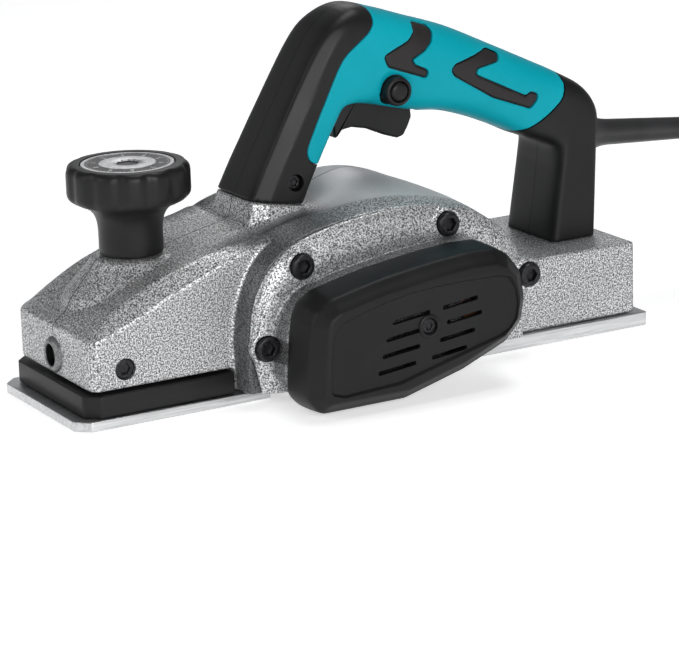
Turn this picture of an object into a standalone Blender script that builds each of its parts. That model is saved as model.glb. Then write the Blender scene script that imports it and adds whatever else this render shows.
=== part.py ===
"""Hand-held electric planer, built as an assembly of separate parts.

Frame: +X points to the rear (cord end), -X to the front (depth knob), -Y to
the belt side, +Y to the motor-cover side, +Z up. The origin is on the bottom
face of the rear sole, at the middle of its width. Lengths below are in
millimetres and are scaled by MM when a mesh is made.
"""
import math

import bmesh
import bpy
from mathutils import Matrix, Quaternion, Vector

MM = 0.001
GAP = 0.3                      # clearance kept between neighbouring solids

# ---- driving dimensions (mm) -------------------------------------------
SOLE_HALF_W = 41.0             # half width of both soles (82 mm planing width)
SHOE_X0, SHOE_X1 = -147.0, -54.5
SHOE_T = 4.4
SOLE_X0, SOLE_X1 = -16.6, 147.0
SOLE_T = 6.6
SKIRT_X0, SKIRT_X1 = -141.5, -71.0
SKIRT_HALF_W, SKIRT_TOP = 39.5, 14.5
SHOE_TRAVEL = 1.0              # cutting depth range
BODY_HALF_W = 38.0             # front casting
FRONT_BOTTOM = 15.8
WALL_Y = 46.0                  # outer face of the motor housing walls
REAR_BLOCK = (60.0, 141.0, 39.5, 6.9, 41.0)   # x0, x1, half width, z0, z1
DRUM = (-39.0, 20.0)           # cutter axis (x, z)
DRUM_R, BLADE_R = 17.6, 19.6
MOTOR = (25.0, 36.0)           # motor axis (x, z)
STATOR_R = 26.5
DRUM_PULLEY_R, MOTOR_PULLEY_R = 12.0, 8.4
BELT_T = 2.0
KNOB_X = -98.9                 # depth knob axis
KNOB_TOP = 105.0
KNOB_R, NECK_R, DIAL_R = 27.3, 14.2, 20.6
HANDLE_W = 17.6                # half width of the grip
TRIGGER_PIN = (8.0, 126.0)
LOCK_AXIS = (27.2, 123.2)
COVER_BACK, COVER_FRONT = -62.3, -86.0
CORD_R = 3.75
COIL_C = (243.0, -42.0)        # centre of the stored coil on the floor
COIL_R = 41.0                  # middle of the turns

# ---- scene reset ---------------------------------------------------------
for ob in list(bpy.data.objects):
    bpy.data.objects.remove(ob, do_unlink=True)

PARTS = bpy.data.collections.new("electric_planer")
TOOLS = bpy.data.collections.new("cutters")
bpy.context.scene.collection.children.link(PARTS)
bpy.context.scene.collection.children.link(TOOLS)

LOOKS = {
    "cast": ((0.42, 0.43, 0.44), 0.45, 0.75),
    "machined": ((0.62, 0.63, 0.64), 0.3, 1.0),
    "black": ((0.018, 0.018, 0.02), 0.5, 0.0),
    "teal": ((0.0, 0.46, 0.56), 0.45, 0.0),
    "insert": ((0.02, 0.02, 0.022), 0.6, 0.0),
    "steel": ((0.5, 0.5, 0.52), 0.3, 1.0),
    "blued": ((0.03, 0.03, 0.032), 0.35, 0.8),
    "rubber": ((0.012, 0.012, 0.013), 0.7, 0.0),
    "copper": ((0.45, 0.2, 0.1), 0.4, 0.9),
    "carbon": ((0.06, 0.06, 0.065), 0.6, 0.2),
    "brass": ((0.65, 0.5, 0.22), 0.3, 1.0),
    "dial": ((0.7, 0.7, 0.7), 0.35, 0.8),
}


def material(node, look):
    colour, rough, metal = LOOKS[look]
    mat = bpy.data.materials.new(node)
    mat.use_nodes = True
    bsdf = mat.node_tree.nodes["Principled BSDF"]
    bsdf.inputs["Base Color"].default_value = (*colour, 1.0)
    bsdf.inputs["Roughness"].default_value = rough
    bsdf.inputs["Metallic"].default_value = metal
    return mat


def place(mesh, name, look, origin=(0, 0, 0)):
    """New object from a mesh in world coordinates, origin at a given point."""
    ob = bpy.data.objects.new(name, mesh)
    o = Vector(origin) * MM
    if o.length > 0:
        mesh.transform(Matrix.Translation(-o))
        ob.location = o
    if look is None:
        TOOLS.objects.link(ob)
        ob.hide_render = True
        ob.display_type = 'WIRE'
    else:
        PARTS.objects.link(ob)
        mesh.materials.clear()
        mesh.materials.append(material(name, look))
    return ob


def loft(name, rings, look=None, origin=(0, 0, 0)):
    """Closed skin through rings of equally many 3-D points (mm)."""
    bm = bmesh.new()
    grid = [[bm.verts.new(Vector(p) * MM) for p in ring] for ring in rings]
    n = len(rings[0])
    for a, b in zip(grid[:-1], grid[1:]):
        for i in range(n):
            j = (i + 1) % n
            bm.faces.new((a[i], a[j], b[j], b[i]))
    bm.faces.new(list(reversed(grid[0])))
    bm.faces.new(grid[-1])
    bmesh.ops.recalc_face_normals(bm, faces=bm.faces)
    mesh = bpy.data.meshes.new(name)
    bm.to_mesh(mesh)
    bm.free()
    return place(mesh, name, look, origin)


AXES = {
    'x': Matrix(((0, 0, 1, 0), (1, 0, 0, 0), (0, 1, 0, 0), (0, 0, 0, 1))),
    'y': Matrix(((1, 0, 0, 0), (0, 0, -1, 0), (0, 1, 0, 0), (0, 0, 0, 1))),
    'z': Matrix.Identity(4),
}


def plate(name, outline, axis, lo, hi, look=None, holes=(), origin=(0, 0, 0)):
    """Flat outline (2-D curve, filled) extruded from lo to hi along an axis.

    Outline coordinates: (y, z) for 'x', (x, z) for 'y', (x, y) for 'z'.
    """
    cu = bpy.data.curves.new(name, 'CURVE')
    cu.dimensions = '2D'
    cu.fill_mode = 'BOTH'
    cu.extrude = 0.5 * (hi - lo) * MM
    for pts in (outline, *holes):
        sp = cu.splines.new('POLY')
        sp.points.add(len(pts) - 1)
        for p, q in zip(sp.points, pts):
            p.co = (q[0] * MM, q[1] * MM, 0, 1)
        sp.use_cyclic_u = True
    tmp = bpy.data.objects.new(name + "_outline", cu)
    TOOLS.objects.link(tmp)
    mid = 0.5 * (lo + hi) * MM
    shift = {'x': (mid, 0, 0), 'y': (0, mid, 0), 'z': (0, 0, mid)}[axis]
    world = Matrix.Translation(shift) @ AXES[axis]
    dg = bpy.context.evaluated_depsgraph_get()
    mesh = bpy.data.meshes.new_from_object(tmp.evaluated_get(dg))
    bpy.data.objects.remove(tmp, do_unlink=True)
    mesh.transform(world)
    bm = bmesh.new()
    bm.from_mesh(mesh)
    bmesh.ops.remove_doubles(bm, verts=bm.verts, dist=1e-6)
    bmesh.ops.recalc_face_normals(bm, faces=bm.faces)
    bm.to_mesh(mesh)
    bm.free()
    return place(mesh, name, look, origin)


def box(name, lo, hi, look=None, bevel=0.0, segments=1, origin=None):
    """Box from corner to corner (mm), edges rounded with a Bevel modifier."""
    lo, hi = Vector(lo), Vector(hi)
    bm = bmesh.new()
    bmesh.ops.create_cube(bm, size=1.0)
    for v in bm.verts:
        v.co = Vector([(lo[k] + hi[k]) / 2 + v.co[k] * (hi[k] - lo[k])
                       for k in range(3)]) * MM
    mesh = bpy.data.meshes.new(name)
    bm.to_mesh(mesh)
    bm.free()
    ob = place(mesh, name, look, origin or (0, 0, 0))
    if bevel:
        soften(ob, bevel, segments)
    return ob


def soften(ob, width, segments=1, angle=35):
    m = ob.modifiers.new("edge", 'BEVEL')
    m.width = width * MM
    m.segments = segments
    m.limit_method = 'ANGLE'
    m.angle_limit = math.radians(angle)
    m.use_clamp_overlap = True
    return ob


def turned(name, profile, centre, axis, steps, look=None, closed=False):
    """Profile of (radius, height) turned about an axis through centre.

    The profile runs down its outer side, from high to low.
    """
    mesh = bpy.data.meshes.new(name)
    verts = [(r * MM, 0, h * MM) for r, h in profile]
    edges = [(i, i + 1) for i in range(len(verts) - 1)]
    if closed:
        edges.append((len(verts) - 1, 0))
    mesh.from_pydata(verts, edges, [])
    ob = place(mesh, name, look)
    ob.location = Vector(centre) * MM
    ob.rotation_mode = 'QUATERNION'
    ob.rotation_quaternion = Vector((0, 0, 1)).rotation_difference(
        Vector(axis).normalized())
    m = ob.modifiers.new("turn", 'SCREW')
    m.steps = m.render_steps = steps
    m.use_merge_vertices = True
    m.merge_threshold = 0.00001
    m.use_smooth_shade = False
    return ob


def rod(name, centre, axis, r, lo, hi, look=None, steps=20):
    """Plain cylinder from lo to hi along an axis."""
    return turned(name, [(0, hi), (r, hi), (r, lo), (0, lo)], centre, axis,
                  steps, look)


def ring(name, centre, axis, r_in, r_out, lo, hi, look=None, steps=24):
    return turned(name, [(r_out, hi), (r_out, lo), (r_in, lo), (r_in, hi)],
                  centre, axis, steps, look, closed=True)


def boole(ob, tool, op):
    m = ob.modifiers.new(op.lower(), 'BOOLEAN')
    m.operation = op
    m.solver = 'EXACT'
    m.object = tool
    return ob


def cut(ob, *tools):
    for t in tools:
        if "turn" in t.modifiers:      # facets set off from the solid's own
            t.rotation_quaternion = (t.rotation_quaternion
                                     @ Quaternion((0, 0, 1), 0.13))
        boole(ob, t, 'DIFFERENCE')
    return ob


def weld(ob, *tools):
    for t in tools:
        boole(ob, t, 'UNION')
    return ob


def keep(ob, tool):
    return boole(ob, tool, 'INTERSECT')


def grow(outline, d):
    """Outline offset outwards by d (inwards if negative), mitred."""
    n = len(outline)
    area = sum(outline[i][0] * outline[(i + 1) % n][1]
               - outline[(i + 1) % n][0] * outline[i][1] for i in range(n))
    s = 1 if area > 0 else -1
    out = []
    for i in range(n):
        p, q, r = (Vector(outline[(i + k) % n]) for k in (-1, 0, 1))
        a, b = (q - p).normalized(), (r - q).normalized()
        na, nb = Vector((a.y, -a.x)) * s, Vector((b.y, -b.x)) * s
        m = na + nb
        k = max(0.2, (m.length ** 2) / 4)
        out.append(tuple(q + m * (0.5 * d / k)))
    return out


def circle(c, r, n, start=0.0):
    return [(c[0] + r * math.cos(start + 2 * math.pi * i / n),
             c[1] + r * math.sin(start + 2 * math.pi * i / n))
            for i in range(n)]


def at_y(outline, y):
    return [(x, y, z) for x, z in outline]


def half_space(name, side):
    """Everything on the far side of the joint plane, as a cutter."""
    lo, hi = (-GAP / 2, 130) if side < 0 else (-130, GAP / 2)
    return box(name, (-200, lo, -20), (220, hi, 220))


# ==========================================================================
# Cast body: one casting form, split on the middle plane into two halves
# ==========================================================================
FRONT_STATIONS = (              # x, crown height, shoulder height
    (-138.6, 38.0, 37.4), (-134.0, 42.0, 39.2), (-128.0, 46.3, 41.0),
    (-114.0, 54.3, 46.1), (-100.0, 60.0, 52.8), (-85.0, 64.8, 58.6),
    (-70.0, 68.8, 64.8), (-52.0, 72.6, 71.0))
FRONT_RINGS = [[(x, -38, FRONT_BOTTOM), (x, -38, zs), (x, -31.5, zc),
                (x, 31.5, zc), (x, 38, zs), (x, 38, FRONT_BOTTOM)]
               for x, zc, zs in FRONT_STATIONS]

# Housing outlines in XZ, listed from the lower front over the top to the rear
DOME_MID = [(-68, 28), (-66, 44), (-62, 58), (-55, 66), (-46, 71), (-35, 74.5),
            (-22, 77.4), (-6, 84.8), (8, 87.8), (20, 85.5), (33, 80.2),
            (47, 74.3), (60, 68), (72, 60.5), (82, 51), (89, 37)]
DOME_SHOULDER = [(-73, 28), (-70, 44), (-65, 57), (-58, 67.5), (-47, 74),
                 (-34, 76.8), (-20, 78.6), (-6, 80.2), (9, 80.2), (23, 79),
                 (36, 76.5), (47, 73.2), (57, 67.5), (67, 60), (75, 50),
                 (80, 36)]
DOME_EDGE = [(-67.4, 28), (-65.5, 43), (-61, 53.5), (-55, 61.5), (-45, 68.8),
             (-33, 73), (-19, 75.8), (-5, 77.4), (10, 77.8), (24, 77),
             (36, 75.4), (46, 72.6), (55, 67), (63, 61), (69.5, 53),
             (74.5, 42)]
DOME_FOOT_FRONT, DOME_FOOT_REAR = 4.6, 6.9
EAR = (75.0, 38.0)              # fourth bracket screw


def dome_ring(y, top):
    foot = [(top[-1][0], DOME_FOOT_REAR), (-17.5, DOME_FOOT_REAR),
            (-17.5, DOME_FOOT_FRONT), (top[0][0] + 1, DOME_FOOT_FRONT)]
    return at_y(top + foot, y)


def blend(a, b, t):
    return [(p[0] * (1 - t) + q[0] * t, p[1] * (1 - t) + q[1] * t)
            for p, q in zip(a, b)]


DOME_RINGS = []
for y, prof in ((-46, DOME_EDGE), (-33, DOME_SHOULDER),
                (-18, blend(DOME_MID, DOME_SHOULDER, 0.4)), (0, DOME_MID),
                (18, blend(DOME_MID, DOME_SHOULDER, 0.4)),
                (33, DOME_SHOULDER), (46, DOME_EDGE)):
    DOME_RINGS.append(dome_ring(y, prof))

# Neck that carries the front leg of the handle; its top slopes to the rear
FOOT_SLOPE = 0.173               # tilt of the handle's front foot


def foot_z(x):
    return 82.7 - FOOT_SLOPE * (x + 47.9)


def neck_ring(x0, x1, half, z):
    xs = [(x0, -9), (x0, 9), (x0 + 0.8, half - 3.5), (x0 + 8, half),
          (x1, half), (x1, -half), (x0 + 8, -half), (x0 + 0.8, -half + 3.5)]
    return [(x, y, foot_z(x) if z is None else z) for x, y in xs]


NECK = [neck_ring(-53, -14, 21.5, 60), neck_ring(-51.5, -17, 20.6, 69.5),
        neck_ring(-48.3, -21.4, 20.0, None)]

BELL = [(0, 64.5), (16.4, 64.5), (18.2, 62.6), (21.5, 58.6), (26, 53.5),
        (31, 47.5), (33, 42), (0, 42)]


def casting(name, side):
    body = loft(name, FRONT_RINGS, "cast")
    tag = name + "_t_"
    weld(body,
         loft(tag + "housing", DOME_RINGS),
         box(tag + "rear", (REAR_BLOCK[0], -REAR_BLOCK[2], REAR_BLOCK[3]),
             (REAR_BLOCK[1], REAR_BLOCK[2], REAR_BLOCK[4]), bevel=1.6),
         loft(tag + "neck", NECK),
         turned(tag + "bell", BELL, (KNOB_X, 0, 0), (0, 0, 1), 20),
         rod(tag + "hole_rim", (-138.0, 0, 24.7), (-1, 0, 0), 7.4, -4, 1.9,
             steps=16))
    ear = rod(tag + "ear", (EAR[0], 0, EAR[1]), (0, side, 0), 8.0, 36, 46,
              steps=16)
    weld(body, ear)
    # spaces inside the casting
    cut(body,
        rod(tag + "rod_bore", (-150, 0, 24.7), (1, 0, 0), 4.0, 0, 36, steps=12),
        turned(tag + "spindle_bore",
               [(0, 80), (4.4, 80), (4.4, 32), (9, 32), (9, 5), (0, 5)],
               (KNOB_X, 0, 0), (0, 0, 1), 12),
        turned(tag + "drum_chamber",
               [(0, 50), (10.5, 50), (10.5, 41.3), (20.6, 41.3),
                (20.6, -41.3), (10.5, -41.3), (10.5, -50), (0, -50)],
               (DRUM[0], 0, DRUM[1]), (0, 1, 0), 20),
        box(tag + "throat", (-58.6, -41.3, -2), (-18.4, 41.3, 20)),
        box(tag + "shoe_room", (-84, -41.3, -2), (-50, 41.3, 6.1)),
        box(tag + "skirt_room", (-90, -50, -3), (-70.6, 50, FRONT_BOTTOM)),
        turned(tag + "motor_room",
               [(0, 44), (11.4, 44), (11.4, 34), (27, 34), (27, -40.8),
                (8, -40.8), (8, -50), (0, -50)],
               (MOTOR[0], 0, MOTOR[1]), (0, 1, 0), 20),
        plate(tag + "chip_way",
              [(-56, 30), (-60, 50), (-50, 59), (-24, 59), (-14, 48),
               (-22, 30)], 'y', -36, 30),
        box(tag + "rear_room", (59, -34, 10), (136, 34, 36)),
        box(tag + "front_room", (-88, -33, 20), (-66, 33, 47)))
    # screws that hold the belt bracket
    if side < 0:
        for i, (x, z) in enumerate(BRACKET_SCREWS):
            cut(body, rod(tag + "screw_hole_%d" % i, (x, -45, z), (0, -1, 0),
                          2.6, -9.5, 4, steps=8))
        cut(body, clamp_hole(tag, -1))
    else:
        cut(body, clamp_hole(tag, 1),
            plate(tag + "chute_mouth", grow(CHUTE, GAP), 'y', 21.7, 60),
            plate(tag + "motor_recess",
                  [(-9, 41.5), (-4, 56), (6, 62), (44, 62), (56, 55),
                   (62, 41.5)], 'y', 40.5, 60))
        for i, dx in enumerate((-CAP_PITCH, CAP_PITCH)):
            cut(body, rod(tag + "cap_hole_%d" % i, (DRUM[0] + dx, 45, DRUM[1]),
                          (0, 1, 0), 2.1, -1.5, 4, steps=8))
        for i, x in enumerate(MOTOR_COVER_SCREWS):
            cut(body, rod(tag + "cover_hole_%d" % i, (x, 45, 21), (0, 1, 0),
                          2.0, -6.5, 4, steps=12))
    cut(body, half_space(tag + "split", side))
    return body


def clamp_hole(tag, side):
    return turned(tag + "clamp_hole",
                  [(0, 6), (4.9, 6), (4.9, -3.2), (2.6, -3.2), (2.6, -33),
                   (0, -33)],
                  (-122.6, side * 38, 24.4), (0, side, 0), 12)


BRACKET_SCREWS = ((-60.5, 26.0), (-41.9, 60.0), (32.4, 67.9), EAR)
MOTOR_COVER_SCREWS = (10.0, 40.0)
CAP_PITCH = 17.5                # drum cap screws, either side of the axis
CHUTE = [(-1.5, 43.6), (-3.5, 52), (-12, 60.5), (-28, 63.2), (-46, 62.8),
         (-60, 59), (-67, 51.5), (-69, 43.6)]

casting("body_left", -1)
casting("body_right", 1)

# ==========================================================================
# Belt side: bracket, cover, pulleys, belt
# ==========================================================================
BOSS = [(-58, 14), (-58, 26), (-56, 36), (-51.5, 44.2), (-44.5, 49.8),
        (-34, 53.6), (-21, 56.4), (-6, 58.8), (8, 60.6), (20, 61.6),
        (31, 61.8), (41, 60.5), (50, 55.5), (56, 47.5), (58.5, 38), (55.5, 28)]
BOSS_FOOT = [(44, 18.5), (24, 11), (-8, 4.2), (-48, 4.2)]


def bracket_ring(y, t, lift=0.0):
    """Outline between the housing edge (t=0) and the belt boss (t=1)."""
    edge = DOME_EDGE + [(72, 9), (-17.5, 5.2), (-30, 4.8), (-62, 4.8)]
    boss = BOSS + BOSS_FOOT
    return at_y(grow(blend(edge, boss, t), lift), y)


bracket = loft("belt_bracket", [
    bracket_ring(-WALL_Y - GAP, 0), bracket_ring(-47.8, 0.04),
    bracket_ring(-50.6, 0.45), bracket_ring(-51.8, 0.95),
    bracket_ring(-53, 1.0), bracket_ring(-62, 1.0, -0.4)], "cast")
BOSS_ALL = BOSS + BOSS_FOOT
weld(bracket, rod("bracket_ear", (EAR[0], 0, EAR[1]), (0, -1, 0), 7.6, 46.3,
                  49.6, steps=16))
cut(bracket,
    loft("bracket_pocket", [at_y(grow(BOSS_ALL, -4.0), -57.5),
                            at_y(grow(BOSS_ALL, -3.4), -66)]))
weld(bracket, rod("bracket_post", (1.2, 0, 33.7), (0, -1, 0), 4.6, 52, 79,
                  steps=10))
cut(bracket, rod("bracket_post_hole", (1.2, 0, 33.7), (0, -1, 0), 2.2, 60, 90,
                 steps=8))
for i, (x, z) in enumerate(BRACKET_SCREWS):
    cut(bracket, turned("bracket_hole_%d" % i,
                        [(0, 30), (5.9, 30), (5.9, 1.9), (2.8, 1.9),
                         (2.8, -3), (0, -3)],
                        (x, -WALL_Y - GAP, z), (0, -1, 0), 12))
for label, (cx, cz), r in (("drum", DRUM, 13.3), ("motor", MOTOR, 11.3)):
    cut(bracket, turned("bracket_%s_seat" % label,
                        [(0, 22), (8, 22), (8, 9.3), (r, 9.3), (r, -2),
                         (0, -2)],
                        (cx, -WALL_Y - GAP, cz), (0, -1, 0), 16))

RIM = [(-55.4, 9), (-54, 28), (-52.4, 41.5), (-50, 46.8), (-44, 50.3),
       (-31, 53.2), (-17.9, 55.8), (-4, 57.7), (10, 59.4), (24, 60.5),
       (37, 60.2), (43.5, 57), (49.3, 49.6), (51.4, 38.5), (49.6, 28)]
RIM_FOOT = [(41.9, 20.1), (20.1, 11.4), (-9.4, 3.6), (-50.5, 3.6)]
RIM_ALL = RIM + RIM_FOOT
PANEL = [(-48.5, 11.5), (-47.8, 27.4), (-46.4, 37.5), (-42.2, 42.0),
         (-30, 45.7), (-18.1, 48.4), (-8, 50.1), (4, 51.0), (22, 51.2),
         (37.3, 50.8), (42.6, 49.2), (46.3, 43.5), (47.3, 36), (46, 30),
         (43.0, 26), (38, 23.4), (21.3, 19.5), (-14.2, 10.6), (-42, 9.4)]

cover = loft("belt_cover", [
    at_y(grow(RIM_ALL, 2.4), COVER_BACK), at_y(grow(RIM_ALL, 2.6), -70),
    at_y(grow(RIM_ALL, 1.9), -78), at_y(RIM_ALL, -83.5),
    at_y(grow(RIM_ALL, -1.6), -85.6), at_y(grow(RIM_ALL, -3.0), COVER_FRONT)],
    "black")
cut(cover,
    loft("cover_hollow", [at_y(grow(RIM_ALL, -0.2), -60),
                          at_y(grow(RIM_ALL, -0.2), -74),
                          at_y(grow(RIM_ALL, -3.4), -82.4)]),
    plate("cover_panel_recess", PANEL, 'y', -90, -84.8))
SLOTS = []
for row, (xl, zl, xr, zr) in enumerate(((-17.2, 38.1, 8.3, 40.7),
                                        (-20.4, 30.9, 10.2, 33.8),
                                        (-22.6, 23.7, 6.5, 26.4),
                                        (-24.8, 16.5, 2.2, 19.2))):
    for x0, z0, length in ((xl, zl, 19.0), (xr, zr, 18.0)):
        rise = 2.0
        SLOTS.append([(x0, z0 - 1.0), (x0 + length, z0 + rise - 1.0),
                      (x0 + length, z0 + rise + 1.0), (x0, z0 + 1.0)])
for i, s in enumerate(SLOTS):
    cut(cover, plate("cover_slot_%d" % i, s, 'y', -90, -80))
cut(cover, rod("cover_screw_hole", (1.2, 0, 33.7), (0, -1, 0), 2.6, 78, 92,
               steps=10))
weld(cover, ring("cover_screw_boss", (1.2, 0, 33.7), (0, -1, 0), 2.6, 5.2,
                 79.5, 85.0, steps=10))


def cap_screw(name, x, y, z, axis, head_r, head_h, shank_r, shank_l,
              socket_r, steps=8):
    """Socket-head screw: head outwards along the axis from (x, y, z)."""
    return turned(name, [(0, head_h * 0.45), (socket_r, head_h * 0.45),
                         (socket_r, head_h), (head_r, head_h), (head_r, 0),
                         (shank_r, 0),
                         (shank_r, -shank_l), (0, -shank_l)],
                  (x, y, z), axis, steps, "blued")


for i, (x, z) in enumerate(BRACKET_SCREWS):
    cap_screw("bracket_screw_%d" % (i + 1), x, -WALL_Y - GAP - 2.2, z,
              (0, -1, 0), 5.5, 4.6, 2.2, 11.5, 2.6, steps=10)
cap_screw("belt_cover_screw", 1.2, -85.3, 33.7, (0, -1, 0), 3.6, 1.6, 1.9,
          20.0, 1.6)

ring("drum_bearing_belt_side", (DRUM[0], 0, DRUM[1]), (0, -1, 0), 6.4, 13.0,
     46.6, 55.2, "steel", steps=16)
ring("motor_bearing_belt_side", (MOTOR[0], 0, MOTOR[1]), (0, -1, 0), 4.4, 11.0,
     46.6, 55.2, "steel", steps=16)


def grooved(r, w, lo, bore):
    """Pulley cross section with a low flange at each side."""
    return [(r + 1.2, lo + w), (r + 1.2, lo + w - 1.6), (r, lo + w - 1.6),
            (r, lo), (bore, lo), (bore, lo + w)]


turned("drum_pulley", grooved(DRUM_PULLEY_R, 14, 63.4, 6.3),
       (DRUM[0], 0, DRUM[1]), (0, -1, 0), 18, "steel", closed=True)
turned("motor_pulley", grooved(MOTOR_PULLEY_R, 14, 63.4, 4.3),
       (MOTOR[0], 0, MOTOR[1]), (0, -1, 0), 16, "steel", closed=True)


def belt_outline(extra, n=9):
    """Open belt round both pulleys: two arcs joined by straight runs."""
    a = Vector(DRUM)
    b = Vector(MOTOR)
    d = b - a
    ang = math.atan2(d.y, d.x)
    ra, rb = DRUM_PULLEY_R + extra, MOTOR_PULLEY_R + extra
    tilt = math.acos((ra - rb) / d.length)
    pts = []
    for i in range(n + 1):
        t = ang + tilt + (2 * math.pi - 2 * tilt) * i / n
        pts.append((a.x + ra * math.cos(t), a.y + ra * math.sin(t)))
    for i in range(n + 1):
        t = ang - tilt + 2 * tilt * i / n
        pts.append((b.x + rb * math.cos(t), b.y + rb * math.sin(t)))
    return pts


plate("drive_belt", belt_outline(GAP + BELT_T), 'y', -75.2, -65.6, "rubber",
      holes=[belt_outline(GAP)])

# ==========================================================================
# Cutter drum
# ==========================================================================
drum = turned("cutter_drum",
              [(0, 82), (6.0, 82), (6.0, 45.5), (9.5, 45.5), (9.5, 41.0),
               (DRUM_R, 40.4), (DRUM_R, -40.4), (7.5, -41.0), (7.5, -46.6),
               (6.0, -46.6), (6.0, -56.4), (0, -56.4)],
              (DRUM[0], 0, DRUM[1]), (0, -1, 0), 24, "steel")
for k, s in enumerate((-1, 1)):
    # pocket that opens on the rim; blade in front, clamping bar behind it
    x = DRUM[0]
    cut(drum, box("drum_pocket_%d" % k,
                  (x + s * 10.0 - 0.0, -42, DRUM[1] - 4.2),
                  (x + s * 24.0, 42, DRUM[1] + 4.2)) if s > 0 else
        box("drum_pocket_%d" % k, (x - 24.0, -42, DRUM[1] - 4.2),
            (x - 10.0, 42, DRUM[1] + 4.2)))
    lo_x, hi_x = sorted((x + s * 10.4, x + s * BLADE_R))
    z0 = DRUM[1] + s * 2.6
    box("planer_blade_%d" % (k + 1), (lo_x, -40.8, min(z0, z0 + s * 1.2)),
        (hi_x, 40.8, max(z0, z0 + s * 1.2)), "steel")
    lo_x, hi_x = sorted((x + s * 10.4, x + s * 16.6))
    za, zb = sorted((DRUM[1] - s * 3.8, DRUM[1] + s * 2.2))
    box("blade_clamp_%d" % (k + 1), (lo_x, -40.2, za), (hi_x, 40.2, zb),
        "steel", bevel=0.5)

# ==========================================================================
# Motor
# ==========================================================================
turned("armature",
       [(0, 80), (4.0, 80), (4.0, 24), (7, 24), (7, 20), (16.8, 19),
        (16.8, -19), (8, -20), (8, -22), (11.0, -22), (11.0, -30), (5.5, -31),
        (4.0, -31), (4.0, -43.4), (0, -43.4)],
       (MOTOR[0], 0, MOTOR[1]), (0, -1, 0), 16, "copper")
ring("stator", (MOTOR[0], 0, MOTOR[1]), (0, -1, 0), 17.5, STATOR_R, -16, 21,
     "steel", steps=20)
blade_pts = []
for i in range(16):
    t = 2 * math.pi * i / 16
    for r, dt in (((25.0, -0.05), (25.0, 0.05)) if i % 2 == 0 else
                  ((11.0, -0.1), (11.0, 0.1))):
        blade_pts.append((MOTOR[0] + r * math.cos(t + dt),
                          MOTOR[1] + r * math.sin(t + dt)))
fan = plate("cooling_fan", blade_pts, 'y', -37.5, -28.5, "black",
            holes=[circle(MOTOR, 4.4, 10)])
ring("motor_bearing_cover_side", (MOTOR[0], 0, MOTOR[1]), (0, 1, 0), 4.4, 11.0,
     34.6, 43.6, "steel", steps=16)
for k, s in enumerate((-1, 1)):
    lo_x, hi_x = sorted((MOTOR[0] + s * 11.6, MOTOR[0] + s * 22.0))
    box("carbon_brush_%d" % (k + 1), (lo_x, 23, MOTOR[1] - 2.6),
        (hi_x, 29, MOTOR[1] + 2.6), "carbon", bevel=0.4)

# ==========================================================================
# Cover side: drum housing, caps, motor end cover, chip chute
# ==========================================================================
HOUSING = [(-65, 10), (-66, 20), (-64, 30), (-58, 38), (-49, 42), (-31, 42.6),
           (-23, 40), (-18.4, 33), (-17.2, 20), (-18.4, 9), (-23, 4.8),
           (-56, 4.8)]
housing = plate("drum_housing", HOUSING, 'y', WALL_Y + GAP, 57.5, "cast")
soften(housing, 1.8)
cut(housing, turned("housing_seat",
                    [(0, 20), (7.0, 20), (7.0, 9.8), (13.3, 9.8), (13.3, -3),
                     (0, -3)],
                    (DRUM[0], WALL_Y + GAP, DRUM[1]), (0, 1, 0), 16))
for i, dx in enumerate((-CAP_PITCH, CAP_PITCH)):
    cut(housing, rod("housing_hole_%d" % i, (DRUM[0] + dx, 0, DRUM[1]),
                     (0, 1, 0), 2.0, 40, 70, steps=8))
ring("drum_bearing_cover_side", (DRUM[0], 0, DRUM[1]), (0, 1, 0), 6.3, 13.0,
     47.0, 55.6, "steel", steps=16)

cap = turned("drum_end_cap",
             [(0, 62.6), (9.5, 62.6), (12.0, 61.4), (12.8, 57.8), (0, 57.8)],
             (DRUM[0], 0, DRUM[1]), (0, 1, 0), 20, "black")
EARS = [(DRUM[0] + sx * dx, DRUM[1] + sz * dz)
        for sx, sz, pts in ((1, 1, ((21.5, 3.2), (9, 9.0))),
                            (-1, 1, ((9, 9.0), (21.5, 3.2))),
                            (-1, -1, ((21.5, 3.2), (9, 9.0))),
                            (1, -1, ((9, 9.0), (21.5, 3.2))))
        for dx, dz in pts]
weld(cap, plate("cap_ears", EARS, 'y', 58.2, 60.2,
                holes=[circle((DRUM[0] + dx, DRUM[1]), 2.1, 8)
                       for dx in (-CAP_PITCH, CAP_PITCH)]))
for i, dx in enumerate((-CAP_PITCH, CAP_PITCH)):
    cap_screw("drum_cap_screw_%d" % (i + 1), DRUM[0] + dx, 60.5, DRUM[1],
              (0, 1, 0), 3.4, 2.0, 1.7, 15.0, 1.5)

MOTOR_COVER = [(-14.5, 17), (-10, 6), (-1, 1.6), (51, 1.6), (60, 6), (64, 17),
               (60, 34), (53, 40.8), (-4, 40.8), (-11, 34)]
mcover = loft("motor_end_cover", [
    at_y(grow(MOTOR_COVER, 1.6), WALL_Y + GAP), at_y(grow(MOTOR_COVER, 1.2), 60),
    at_y(grow(MOTOR_COVER, 0.4), 65.5), at_y(grow(MOTOR_COVER, -2.0), 68)],
    "black")
cut(mcover, loft("mcover_hollow", [at_y(grow(MOTOR_COVER, -1.4), 44),
                                   at_y(grow(MOTOR_COVER, -1.6), 60),
                                   at_y(grow(MOTOR_COVER, -3.6), 65.4)]))
for s in (-1, 1):
    for row, z in enumerate((9.0, 14.5, 27.5, 33.0)):
        xc = 25 + s * (25 if row in (1, 2) else 21)
        cut(mcover, box("mcover_slot_%d_%d" % (s, row), (xc - 8.5, 60, z - 1.1),
                        (xc + 8.5, 72, z + 1.1)))
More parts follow.
